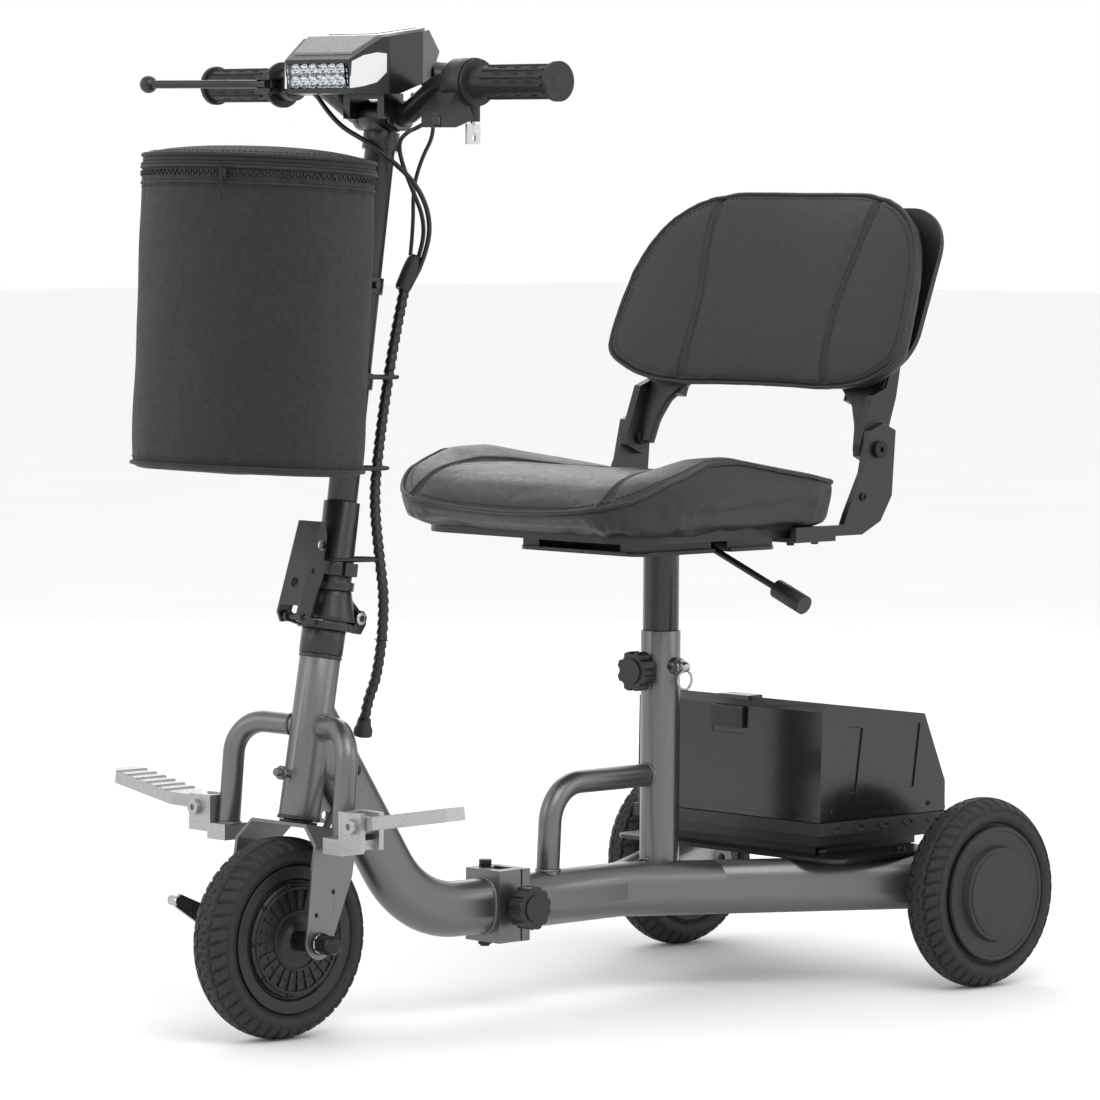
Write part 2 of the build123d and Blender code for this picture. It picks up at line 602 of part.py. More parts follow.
def make_latch_base():
    """Casting on the steerer's top: disc, front ears for the lever and rear ears for the fold pin."""
    top, low = FOLD_PLANE - GAP, FOLD_PLANE - BASE_T
    pin_h = FOLD_PLANE + FOLD_RISE
    base = cyl_z(BASE_R, low, top)
    for side in (-1, 1):
        x0, x1 = sorted((side * 9.3, side * 15))
        base += side_plate(
            [(10, low), (FOLD_BACK + 4, low), (FOLD_BACK + 9, pin_h - 5), (FOLD_BACK + 9, pin_h + 3),
             (FOLD_BACK + 4, pin_h + 8), (FOLD_BACK - 4, pin_h + 8), (FOLD_BACK - 6, top), (10, top)],
                           x0, x1)
        x0, x1 = sorted((side * 7, side * 12.6))
        base += side_plate([(-20, low), (-LATCH_FRONT, low + 3), (-LATCH_FRONT - 2, top + 5),
                            (-BASE_R, top), (-20, top)], x0, x1)
        base += cyl_x(5.5, x0, x1, -LATCH_FRONT, FOLD_PLANE)
    base -= cyl_z(STEERER_R, low - 1, FOLD_PLANE + 20)
    base -= cyl_x(FOLD_PIN_R, -30, 30, FOLD_BACK, pin_h)
    base -= cyl_x(LATCH_PIN_R, -30, 30, -LATCH_FRONT, FOLD_PLANE)
    fold_pin = cyl_x(FOLD_PIN_R, -17, 17, FOLD_BACK, pin_h)
    lever_pin = cyl_x(LATCH_PIN_R, -19, 19, -LATCH_FRONT, FOLD_PLANE)
    return Compound(children=[STEER * base, STEER * fold_pin, STEER * lever_pin])


def steer_point(y, h):
    """A point of the steering axis's frame, as (y, z) from the front axle."""
    rake = math.radians(HEAD_RAKE)
    return (HEAD_Y + y * math.cos(rake) + h * math.sin(rake),
            WHEEL_R + h * math.cos(rake) - y * math.sin(rake))


LEVER_Y, LEVER_Z = steer_point(-LATCH_FRONT, FOLD_PLANE)
LINK_Y = LEVER_Y + 12.5
LINK_Z = LEVER_Z + 44.5


def make_latch_lever():
    """Channel lever in front of the stem, pinned at its foot, with the link's pin."""
    y, z = LEVER_Y, LEVER_Z
    lever = side_plate(
        [(y - 5, z - 6), (y + 5, z - 6), (y + 13, z + 18), (y + 24, z + 38), (y + 25, z + 60),
         (y + 29, z + 78),
         (y + 26, z + 93), (y + 20, z + 93), (y - 9, z + 4)], -16, 16)
    lever -= side_plate(
        [(y - 30, z - 10), (y + 40, z - 10), (y + 50, z + 100), (y + 24.5, z + 100), (y - 4, z + 12),
         (y - 30, z + 6)], -13, 13)
    lever -= cyl_x(LATCH_PIN_R + RUN, -20, 20, y, z)
    lever -= cyl_x(5, -20, 20, y + 22, z + 70)
    lever -= cyl_x(LINK_PIN_R, -20, 20, LINK_Y, LINK_Z)
    lever -= Pos(0, y + 3, z + 33) * Rot(74, 0, 0) * Cylinder(5, 20)
    return Compound(children=[lever, cyl_x(LINK_PIN_R, -18, 18, LINK_Y, LINK_Z)])


def make_latch_link():
    """Short link on the lever's upper pin; its end bears on the stem band's lug."""
    y, z = LINK_Y, LINK_Z
    link = side_plate([(y - 4.5, z - 5), (y + 3, z - 5), (y + 10, z - 3), (y + 10, z + 5),
                       (y - 2.5, z + 5)], -11.5, 11.5)
    return link - cyl_x(LINK_PIN_R + RUN, -20, 20, y, z)


# ---------------------------------------------------------------- stem and bars
def make_stem_lower():
    """Folding lower stem: tube, bell-shaped foot with a lug on the fold pin, cushion ring, band."""
    pin_h = FOLD_PLANE + FOLD_RISE
    above = STEER * box(-60, 60, -80, 80, FOLD_PLANE, FOLD_PLANE + 200)
    tube = STEM * cyl_z(STEM_OUT_R, -60, STEM_SEAM)
    bell = (STEM * (Pos(0, 0, -66) * Cone(26, 19, 30))) & above
    for side in (-1, 1):
        x0, x1 = sorted((side * 9, side * 15.3))
        bell -= STEER * box(x0, x1, FOLD_BACK - 12, 60, FOLD_PLANE - 5, pin_h + 10)
    lug = STEER * side_plate(
        [(5, FOLD_PLANE + GAP), (FOLD_BACK - 5, FOLD_PLANE + GAP), (FOLD_BACK + 1, pin_h - 8),
         (FOLD_BACK + 7, pin_h - 4),
         (FOLD_BACK + 8, pin_h + 2), (FOLD_BACK + 3, pin_h + 9), (FOLD_BACK - 12, pin_h + 20),
         (5, pin_h + 20)], -9, 9)
    body = tube + bell + lug
    body -= STEER * cyl_x(FOLD_PIN_R + RUN, -30, 30, FOLD_BACK, pin_h)
    body -= STEM * cyl_z(STEM_IN_R + RUN, -40, STEM_SEAM + 1)
    cushion = STEM * ring_z(21, STEM_OUT_R, -50.5, -42)
    band = ring_z(21.5, STEM_OUT_R, BAND_LOW, BAND_LOW + BAND_H)
    band += box(-12, 12, -28.5, -18.5, BAND_LOW, BAND_LOW + BAND_H) - cyl_z(STEM_OUT_R, -40, -20)
    band += box(17, 25, -8, 8, BAND_LOW, BAND_LOW + BAND_H) - cyl_z(STEM_OUT_R, -40, -20)
    return Compound(children=[body, cushion, STEM * band])


def make_stem_upper():
    """Telescoping upper stem, with the saddle that the handlebar is clamped in."""
    top = (BAR_MID_Z - STEM_Z) / math.cos(math.radians(STEM_RAKE))
    tube = ring_z(STEM_IN_R, STEM_IN_R - 2.5, STEM_SEAM - 70, top)
    tube += ring_z(STEM_IN_R + 3, STEM_IN_R - 1, top - 34, top - 16)
    upper = STEM * tube
    clamp = cyl_x(BAR_R + 5, -20, 20, BAR_Y + BAR_SET, BAR_MID_Z)
    upper = upper + clamp
    return upper - cyl_x(BAR_R, -40, 40, BAR_Y + BAR_SET, BAR_MID_Z)


def bar_sweep(radius):
    """The handlebar's bent line swept with a solid round section."""
    clamp_y = BAR_Y + BAR_SET
    points = [(-BAR_HALF, BAR_Y, BAR_Z), (-BAR_RISE_OUT, BAR_Y, BAR_Z),
              (-BAR_RISE_IN, clamp_y, BAR_MID_Z),
              (BAR_RISE_IN, clamp_y, BAR_MID_Z), (BAR_RISE_OUT, BAR_Y, BAR_Z), (BAR_HALF, BAR_Y, BAR_Z)]
    path = FilletPolyline(*points, radius=BAR_BEND_R)
    start = Plane(origin=path @ 0, z_dir=path % 0)
    return sweep(start * Circle(radius), path=path)


def make_handlebar():
    return bar_sweep(BAR_R) - bar_sweep(BAR_R - BAR_WALL)


def ribbed_grip(bore, x_in, x_out):
    """A grip towards +X, with an end flange, an inner flange and lengthwise ribs."""
    grip = cyl_x(GRIP_R, x_in, x_out) + cyl_x(GRIP_END_R, x_out - 5, x_out) + cyl_x(23, x_in, x_in + 4)
    for i in range(12):
        turn = math.radians(30 * i + 15)
        grip += cyl_x(1.6, x_in + 22, x_out - 10, GRIP_R * math.cos(turn), GRIP_R * math.sin(turn))
    return grip - cyl_x(bore, x_in - 1, x_out - 3)


def make_throttle_housing():
    """Clamp ring and switch pod inboard of the twist grip."""
    pod = cyl_x(24, 112, 136) + cyl_x(19, 104, 112)
    arm = side_plate([(-6, -22), (-24, -10), (-44, -32), (-44, -44), (-24, -44), (0, -36)], 106, 134)
    pod += arm + cyl_z(7, -38, -18, KEY_X, KEY_BACK)
    pod -= cyl_x(BAR_R, 100, 150)
    pod -= cyl_z(KEY_R + RUN, -40, -16, KEY_X, KEY_BACK)
    pod -= box(124.4, 133.6, -50, -38.5, -42.6, -33.4)
    return Pos(0, BAR_Y, BAR_Z) * pod


def make_thumb_switch():
    button = box(124.7, 133.3, -47, -40.5, -42.3, -33.7)
    return Pos(0, BAR_Y, BAR_Z) * button


def make_key():
    """Key in the lock under the housing, its bow hanging below the barrel."""
    key = cyl_z(KEY_R, -42, -17, KEY_X, KEY_BACK)
    bow = box(KEY_X - 1.2, KEY_X + 1.2, KEY_BACK - 9, KEY_BACK + 9, -60, -40)
    bow -= cyl_x(3, 100, 140, KEY_BACK, -54)
    return Pos(0, BAR_Y, BAR_Z) * (key + bow)


def make_brake_perch():
    """Clamp on the bar, lever fork and cable adjuster."""
    x, y = LEVER_PIVOT
    clamp = cyl_x(16, -146, -128, BAR_Y, BAR_Z)
    body = box(-140, -104, y + 4, BAR_Y, BAR_Z - 7, BAR_Z + 7)
    ears = box(x - 10, x + 12, y - 10, y + 6, BAR_Z + 4.3, BAR_Z + 9)
    ears += box(x - 10, x + 12, y - 10, y + 6, BAR_Z - 9, BAR_Z - 4.3)
    perch = clamp + body + ears
    adjuster = cyl_x(5.5, -110, -92, y + 10, BAR_Z) + cyl_x(8, -104, -98, y + 10, BAR_Z)
    perch += adjuster
    perch -= cyl_x(BAR_R, -160, -90, BAR_Y, BAR_Z)
    perch -= box(x - 12, x + 14, y - 14, y + 10, BAR_Z - 4.3, BAR_Z + 4.3)
    perch -= cyl_z(LEVER_PIN_R, BAR_Z - 20, BAR_Z + 20, x, y)
    perch -= cyl_x(2.5, -97, -88, y + 10, BAR_Z)
    pivot = cyl_z(LEVER_PIN_R, BAR_Z - 11, BAR_Z + 9, x, y)
    return Compound(children=[perch, pivot])


def make_brake_lever():
    """Blade with a ball end, on its pivot pin."""
    x, y = LEVER_PIVOT
    outline = Polyline((x + 8, y - 7), (x + 8, y + 3), (x - 8, y + 5), (x - 40, y - 18),
                       (x - 120, y - 44),
                       (x - 120, y - 56), (x - 60, y - 44), (x - 20, y - 22), close=True)
    blade = Pos(0, 0, BAR_Z - 4) * extrude(make_face(outline), amount=8)
    ball = cyl_z(BALL_R, BAR_Z - 8, BAR_Z + 8, x - 127, y - 51)
    ball = fillet(ball.edges().filter_by(GeomType.CIRCLE), 6)
    lever = blade + ball
    return lever - cyl_z(LEVER_PIN_R + RUN, BAR_Z - 20, BAR_Z + 20, x, y)


def make_lamp_housing():
    """Faceted lamp and display body on its bracket, with the horn behind its left rear corner."""
    side = [(LAMP_FRONT + 8, 929), (LAMP_FRONT + 4, 962), (LAMP_FRONT + 38, 984), (LAMP_REAR - 26, 993),
            (LAMP_REAR, 972),
            (LAMP_REAR - 20, 946), (LAMP_FRONT + 60, 929)]
    body = side_plate(side, -LAMP_HALF, LAMP_HALF)
    plan = [(-46, LAMP_FRONT), (46, LAMP_FRONT), (60, LAMP_FRONT + 46), (56, LAMP_REAR - 40),
            (36, LAMP_REAR + 2), (-36, LAMP_REAR + 2),
            (-56, LAMP_REAR - 40), (-60, LAMP_FRONT + 46)]
    body &= extrude(Pos(0, 0, 900) * make_face(Polyline(*plan, close=True)), amount=120)
    body -= box(-43, 43, LAMP_FRONT - 5, LAMP_FRONT + 22, 934, 958)
    clamp_y = BAR_Y + BAR_SET
    bracket = box(-30, 30, 108, 128, 924.5, 930)
    for side in (-1, 1):
        x0, x1 = sorted((side * 20.3, side * 30))
        bracket += cyl_x(BAR_R + 4, x0, x1, clamp_y, BAR_MID_Z) + box(x0, x1, 108, clamp_y, 905, 930)
    bracket -= bar_sweep(BAR_R)
    horn = cyl_y(13, 160, 182, 34, 950)
    return Compound(children=[body + bracket, horn - body])


def make_lamp_lens():
    lens = box(-42.7, 42.7, LAMP_FRONT + 1, LAMP_FRONT + 21.9, 934.3, 957.7)
    return lens & make_lens_bounds()


def make_lens_bounds():
    return side_plate([(LAMP_FRONT + 8, 929), (LAMP_FRONT + 4, 962), (LAMP_FRONT + 50, 962),
                       (LAMP_FRONT + 50, 929)], -60, 60)


# ---------------------------------------------------------------- bag
def bag_prism(inset, low, high):
    return Pos(0, 0, low) * extrude(Ellipse(BAG_A - inset, BAG_B - inset), amount=high - low)


def make_bag():
    outer = bag_prism(0, BAG_LOW, BAG_HIGH)
    inner = bag_prism(BAG_WALL, BAG_LOW + BAG_WALL, BAG_HIGH + 1)
    return BAG * (outer - inner)


def make_bag_lid():
    lid = bag_prism(0, BAG_HIGH + GAP, BAG_HIGH + 10)
    dome = Pos(0, 0, BAG_HIGH + 10) * extrude(Ellipse(BAG_A - 14, BAG_B - 14), amount=6)
    return BAG * (lid + dome)


def make_bag_bracket():
    """Bracket between the stem and the bag: two bands and a plate."""
    shapes = None
    for h in (150, 245):
        band = STEM * (ring_z(STEM_IN_R + 3, STEM_IN_R, h, h + 16))
        shapes = band if shapes is None else shapes + band
    plate = STEM * box(-16, 16, -STEM_IN_R - 5, -STEM_IN_R + 1, 150, 261)
    shapes = shapes + (plate - STEM * cyl_z(STEM_IN_R, 100, 300))
    shapes += STEM * (cyl_x(3.5, 12, 26, -6, 253) - cyl_z(STEM_IN_R, 100, 300))
    return shapes


# ---------------------------------------------------------------- cables

def make_loom_lower():
    """From the main tube's top up past the fold, held by the latch base."""
    return cord([(0, 110, 296), (7, 108, 325), (22, 110, 355), (27, 110, 390)], LOOM_R)


def make_loom_upper():
    return cord([(27, 110, 390), (32, 110, 425), (25, 108, 475), (17, 108, 530), (16, 116, 585),
                 (18, 124, 640),
                 (20, 134, 695), (25, 143, 745)], LOOM_R)


def make_bar_cables():
    """Brake cable, switch cable and horn cable, from the bar down to the stem."""
    brake = cord([(-92, 106, 940), (-66, 102, 932), (-44, 98, 914), (-22, 100, 896), (6, 104, 884),
                  (30, 116, 866), (44, 138, 842), (47, 154, 812), (42, 158, 780), (33, 152, 755)],
                 BRAKE_CABLE_R)
    switch = cord([(105.5, 100, 903), (86, 102, 896), (62, 110, 892), (40, 118, 882), (30, 132, 862),
                   (30, 146, 836), (33, 160, 806), (30, 160, 776), (24, 152, 752)], SWITCH_CABLE_R)
    horn = cord([(24, 150, 930), (36, 166, 916), (36, 170, 890), (24, 164, 866), (16, 160, 836),
                 (17, 160, 800), (17, 156, 770)], HORN_CABLE_R)
    return Compound(children=[brake, switch, horn])


# ---------------------------------------------------------------- seat
def make_seat_post():
    tube = cyl_z(POST_R, SPINE_Z - 10, POST_TOP, 0, POST_Y)
    slot_z = KNOB_Z + 5
    tube -= cyl_z(POST_R - 2.2, SPINE_Z - 11, POST_TOP - 6, 0, POST_Y)
    slot = cyl_x(4.3, 0, 40, POST_Y, slot_z) + cyl_x(4.3, 0, 40, POST_Y, slot_z - POST_TRAVEL)
    slot += box(0, 40, POST_Y - 4.3, POST_Y + 4.3, slot_z - POST_TRAVEL, slot_z)
    tube -= slot
    flange = cyl_z(36, POST_TOP, POST_TOP + 4, 0, POST_Y)
    stud = cyl_z(9, POST_TOP, POST_TOP + 14, 0, POST_Y)
    return tube + flange + stud


def make_post_knob():
    knob = lobed_knob(21, 15, 8, 5)
    face_y = POST_Y - SEAT_TUBE_R - 7.3
    knob = Pos(0, face_y, KNOB_Z) * Rot(90, 0, 0) * knob
    screw = cyl_y(4, face_y - 3, POST_Y - POST_R - GAP, 0, KNOB_Z)
    return knob + screw


def make_post_pin():
    """Spring lock pin with a collar, a ball head and its pull ring."""
    z, x0 = KNOB_Z + 5, SEAT_TUBE_R + 7.3
    pin = cyl_x(4, PIN_SPLIT, x0 + 5, POST_Y, z)
    pin += cyl_x(7, x0, x0 + 5, POST_Y, z)
    pin += Pos(x0 + 8, POST_Y, z) * Sphere(5.5)
    ring = Pos(x0 + 8, POST_Y, z - 14) * Rot(0, 90, 0) * Torus(10, 1.4)
    return pin + ring


def make_pin_tip():
    """Inner end of the lock pin, in the post's slot."""
    return cyl_x(4, POST_R - 5, PIN_SPLIT, POST_Y, KNOB_Z + 5)


def make_swivel_plate():
    """Turntable on the post's stud, carrying the seat pan."""
    z = POST_TOP + 4 + GAP
    plate = extrude(Pos(0, POST_Y - 20, z) * RectangleRounded(180, 210, 16), amount=4)
    rails = both(box(60, 84, POST_Y - 120, POST_Y + 80, z + 4, SEAT_LOW - 12))
    plate += rails.children[0]
    plate += rails.children[1]
    lug = box(34, 60, POST_Y - 10, POST_Y - 6, z + 4, z + 14) + box(34, 60, POST_Y + 6, POST_Y + 10,
                                                                    z + 4, z + 14)
    plate += lug
    plate -= box(38, 100, POST_Y - 5.9, POST_Y + 5.9, z - 1, z + 40) & box(38, 100, 0, 999, z - 1,
                                                                           z + 4.1)
    plate -= box(59, 100, POST_Y - 12, POST_Y + 12, z - 1, z + 40)
    plate -= cyl_z(9 + RUN, POST_TOP, POST_TOP + 30, 0, POST_Y)
    plate -= cyl_y(2.5, POST_Y - 20, POST_Y + 20, 47, z + 9)
    pin = cyl_y(2.5, POST_Y - 12, POST_Y + 12, 47, z + 9)
    return Compound(children=[plate, pin])


SEAT_LEVER_Z = POST_TOP + 4 + GAP + 9


ROD_START = Vector(60, POST_Y, SEAT_LEVER_Z)
ROD_END = Vector(168, POST_Y, 429)
GRIP_END = ROD_END + (ROD_END - ROD_START).normalized() * 41


def make_seat_lever():
    """Bent release lever on its cross pin, reaching out on the rider's left."""
    tongue = box(41, 64, POST_Y - 5.7, POST_Y + 5.7, SEAT_LEVER_Z - 3.5, SEAT_LEVER_Z + 3.5)
    tongue -= cyl_y(2.5 + RUN, POST_Y - 20, POST_Y + 20, 47, SEAT_LEVER_Z)
    return tongue + rod(ROD_START, ROD_END, 3.5)


def seat_outline(inset, front_r, rear_r):
    """Plan of the seat, from its front to its rear edge, with rounded corners."""
    half = SEAT_W / 2 - inset
    y0, y1 = SEAT_FRONT + inset, SEAT_REAR - inset
    points = [(-half, y0), (half, y0), (half, y1), (-half, y1)]
    face = make_face(Polyline(*points, close=True))
    corners = face.vertices()
    front = [v for v in corners if v.Y < (y0 + y1) / 2]
    face = fillet(front, front_r)
    rear = [v for v in face.vertices() if v.Y > y1 - 1]
    return fillet(rear, rear_r)


def make_seat_cushion():
    """Padded cushion: a raised rim front and sides, lower towards the rear."""
    profile = side_plate(
        [(SEAT_FRONT - 5, SEAT_LOW + 14), (SEAT_FRONT + 40, SEAT_LOW), (SEAT_REAR + 5, SEAT_LOW),
         (SEAT_REAR + 5, SEAT_LOW + 50), (SEAT_FRONT + 170, SEAT_LOW + 66),
         (SEAT_FRONT + 105, SEAT_LOW + 78),
         (SEAT_FRONT + 60, SEAT_LOW + 70), (SEAT_FRONT - 5, SEAT_LOW + 36)],
        -SEAT_W / 2, SEAT_W / 2,
    )
    plan = extrude(Pos(0, 0, SEAT_LOW - 5) * seat_outline(0, 70, 34), amount=120)
    return profile & plan


def make_seat_pan():
    plan = seat_outline(30, 50, 24)
    pan = extrude(Pos(0, 0, SEAT_LOW - 12) * plan, amount=12)
    cushion_low = side_plate(
        [(SEAT_FRONT - 5, SEAT_LOW + 14), (SEAT_FRONT + 40, SEAT_LOW), (SEAT_REAR + 5, SEAT_LOW),
         (SEAT_REAR + 5, SEAT_LOW + 50), (SEAT_FRONT - 5, SEAT_LOW + 36)], -SEAT_W / 2, SEAT_W / 2)
    return pan - cushion_low


def make_seat_brackets():
    """Side brackets bolted under the seat pan's rear, rising to the backrest pivots."""
    outline = [(540, 481), (640, 481), (668, 494), (685, 520), (690, 588), (672, 596), (650, 588), (640, 545),
               (618, 505),
               (612, SEAT_LOW - 1), (540, SEAT_LOW - 1)]
    bracket = side_plate(outline, BRACKET_IN, BRACKET_OUT)
    foot = box(150, BRACKET_OUT, 540, 600, 476, 481)
    bracket += foot
    bracket -= cyl_x(PIVOT_BOLT_R, 100, 220, PIVOT_Y, PIVOT_Z)
    return both(bracket)


def make_backrest_pivots():
    bolt = cyl_x(PIVOT_BOLT_R, 162, BRACKET_OUT + 3, PIVOT_Y, PIVOT_Z)
    bolt += cyl_x(9, BRACKET_OUT, BRACKET_OUT + 5, PIVOT_Y, PIVOT_Z)
    bolt += cyl_x(8, 160, 165.7, PIVOT_Y, PIVOT_Z)
    bolt -= cyl_x(3, BRACKET_OUT + 2, BRACKET_OUT + 6, PIVOT_Y, PIVOT_Z)
    return both(bolt)


def make_backrest_frame():
    """Moulded back shell with an arm each side, down to the pivots."""
    shell = Plane.XZ * RectangleRounded(BACK_W - 30, BACK_H - 20, 52)
    shell = Pos(0, BACK_T / 2 + 6, 0) * extrude(shell, amount=6)
    arm_in, arm_out = 166.0, BRACKET_IN - GAP
    low = -174
    arm = side_plate([(8, low - 12), (34, low - 14), (40, low), (38, -110), (26, -40), (20, -40),
                      (20, -106), (4, -120), (4, low)], arm_in, arm_out)
    web = box(120, 170, 20, 30, -122, -60)
    half = arm + web
    frame = shell + half + mirror(half, about=Plane.YZ)
    frame = BACK * frame
    return frame - cyl_x(PIVOT_BOLT_R + RUN, -300, 300, PIVOT_Y, PIVOT_Z)


def make_backrest_pad():
    pad = Plane.XZ * RectangleRounded(BACK_W, BACK_H, 62)
    pad = Pos(0, BACK_T / 2, 0) * extrude(pad, amount=BACK_T)
    pad = fillet(pad.edges().group_by(Axis.Y)[0], 12)
    return BACK * pad


# ---------------------------------------------------------------- battery box
CASE_SIDE = [(CASE_FRONT, CASE_LOW), (CASE_FRONT + 2, 292), (CASE_FRONT + 12, 301),
             (CASE_FRONT + 162, 282),
             (CASE_FRONT + 195, 208), (CASE_FRONT + 195, CASE_LOW)]


def make_battery_case():
    half = CASE_W / 2
    case = side_plate(CASE_SIDE, -half, half)
    inner = side_plate(
        [(CASE_FRONT + CASE_WALL, CASE_LOW - 1), (CASE_FRONT + 2 + CASE_WALL, 290),
         (CASE_FRONT + 13, 297.5),
         (CASE_FRONT + 159, 279), (CASE_FRONT + 191, 207), (CASE_FRONT + 191, CASE_LOW - 1)],
        -half + CASE_WALL, half - CASE_WALL,
    )
    strip = box(-22, 22, CASE_FRONT + 8, CASE_FRONT + 30, 292, 302)
    for y in (CASE_FRONT + 45, CASE_FRONT + 135):
        slot = side_plate([(y, 205), (y + 10, 205), (y + 20, 272), (y - 2, 275)], half - 1.8, half + 1)
        case -= slot
        case -= mirror(slot, about=Plane.YZ)
    case -= box(-24.3, 24.3, CASE_FRONT - 5, CASE_FRONT + 2.4, 262, 292)
    case = case + strip
    return case - inner


def make_battery_latch():
    """Hook latch in the case's front recess."""
    latch = box(-23.7, 23.7, CASE_FRONT - 3, CASE_FRONT + 1.2, 268, 291)
    return latch


def make_battery_tray():
    """Tray under the case, standing on the rack plate."""
    half = CASE_W / 2 + 3
    low = RACK_Z + 4
    tray = box(-half + 28, half - 28, CASE_FRONT + 20, CASE_FRONT + 175, low, low + 10)
    tray += box(-half + 14, half - 14, CASE_FRONT + 8, CASE_FRONT + 188, low + 10, low + 22)
    tray += box(-half, half, CASE_FRONT - 3, CASE_FRONT + 198, low + 22, CASE_LOW - GAP)
    tray -= box(-half + 32, half - 32, CASE_FRONT + 24, CASE_FRONT + 171, low + 4, CASE_LOW + 10)
    for x, y in ((-112, 660), (112, 660), (-145, 745), (145, 745)):
        tray -= cyl_z(8, low - 1, low + 6, x, y)
    return tray


def make_battery_pack():
    """Battery pack standing in the tray, with the motor controller beside it."""
    floor = RACK_Z + 8
    pack = box(-96, 40, CASE_FRONT + 30, CASE_FRONT + 160, floor, floor + 118)
    controller = box(48, 98, CASE_FRONT + 34, CASE_FRONT + 150, floor, floor + 60)
    return Compound(children=[pack, controller])


# ---------------------------------------------------------------- all pieces
def left(shape, centre_x=TRACK / 2):
    return Pos(centre_x, WHEELBASE, WHEEL_R) * shape


def right(shape):
    return mirror(left(shape), about=Plane.YZ)


rear_spine, brace_tube, rear_beams = split_rear_frame(make_rear_frame())
rear_rim = make_rear_rim()
rear_tyre = tyre(REAR_TYRE_W / 2)
pieces = {
    "rear_frame": rear_spine,
    "brace_tube": brace_tube,
    "rear_beams": rear_beams,
    "rear_bolts": make_rear_bolts(),
    "rack_plate": make_rack_plate(),
    "battery_tray": make_battery_tray(),
    "battery_pack": make_battery_pack(),
    "battery_case": make_battery_case(),
    "battery_latch": make_battery_latch(),
    "rear_left_tyre": left(rear_tyre),
    "rear_left_rim": left(rear_rim),
    "rear_right_tyre": right(rear_tyre),
    "rear_right_rim": right(rear_rim),
    "seat_post": make_seat_post(),
    "post_knob": make_post_knob(),
    "post_pin": make_post_pin(),
    "pin_tip": make_pin_tip(),
    "swivel_plate": make_swivel_plate(),
    "seat_pan": make_seat_pan(),
    "seat_cushion": make_seat_cushion(),
    "seat_brackets": make_seat_brackets(),
    "backrest_pivots": make_backrest_pivots(),
    "seat_lever": make_seat_lever(),
    "seat_lever_grip": rod(ROD_END, GRIP_END, 10),
    "backrest_frame": make_backrest_frame(),
    "backrest_pad": make_backrest_pad(),
    "front_frame": make_front_frame(),
    "headset_cups": make_headset_cups(),
    "peg_brackets": make_peg_brackets(),
    "peg_left": make_peg(1),
    "peg_right": make_peg(-1),
    "clamp_knob": make_clamp_knob(),
    "fork": make_fork(),
    "headset_collar": make_headset_collar(),
    "latch_base": make_latch_base(),
    "front_axle": make_front_axle(),
    "front_tyre": Pos(0, 0, WHEEL_R) * tyre(FRONT_TYRE_W / 2),
    "front_rim": Pos(0, 0, WHEEL_R) * make_front_rim(),
    "brake_plate": make_brake_plate(),
    "brake_arm": make_brake_arm(),
    "latch_lever": make_latch_lever(),
    "latch_link": make_latch_link(),
    "stem_lower": make_stem_lower(),
    "stem_upper": make_stem_upper(),
    "handlebar": make_handlebar(),
    "right_grip": Pos(0, BAR_Y, BAR_Z) * mirror(ribbed_grip(BAR_R, 146, 253.6), about=Plane.YZ),
    "throttle_grip": Pos(0, BAR_Y, BAR_Z) * ribbed_grip(BAR_R + RUN, 136.3, 253.6),
    "throttle_housing": make_throttle_housing(),
    "thumb_switch": make_thumb_switch(),
    "key": make_key(),
    "brake_perch": make_brake_perch(),
    "brake_lever": make_brake_lever(),
    "lamp_housing": make_lamp_housing(),
    "lamp_lens": make_lamp_lens(),
    "bag": make_bag(),
    "bag_lid": make_bag_lid(),
    "bag_bracket": make_bag_bracket(),
    "loom_lower": make_loom_lower(),
    "loom_upper": make_loom_upper(),
    "bar_cables": make_bar_cables(),
}

os.makedirs("parts", exist_ok=True)
for name, shape in pieces.items():
    solids = shape.solids()
    placed = [Pos(0, -CENTRE_Y, 0) * s for s in solids]
    piece = placed[0] if len(placed) == 1 else Compound(children=placed)
    export_step(piece, f"parts/{name}.step")
print(len(pieces), "pieces written")
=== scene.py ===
import json
import math
import random

import bmesh
import bpy
from bpy.props import FloatProperty, FloatVectorProperty, IntProperty, PointerProperty
from bpy.types import Operator, Panel, PropertyGroup
from mathutils import Matrix, Quaternion, Vector, noise
from mathutils.bvhtree import BVHTree


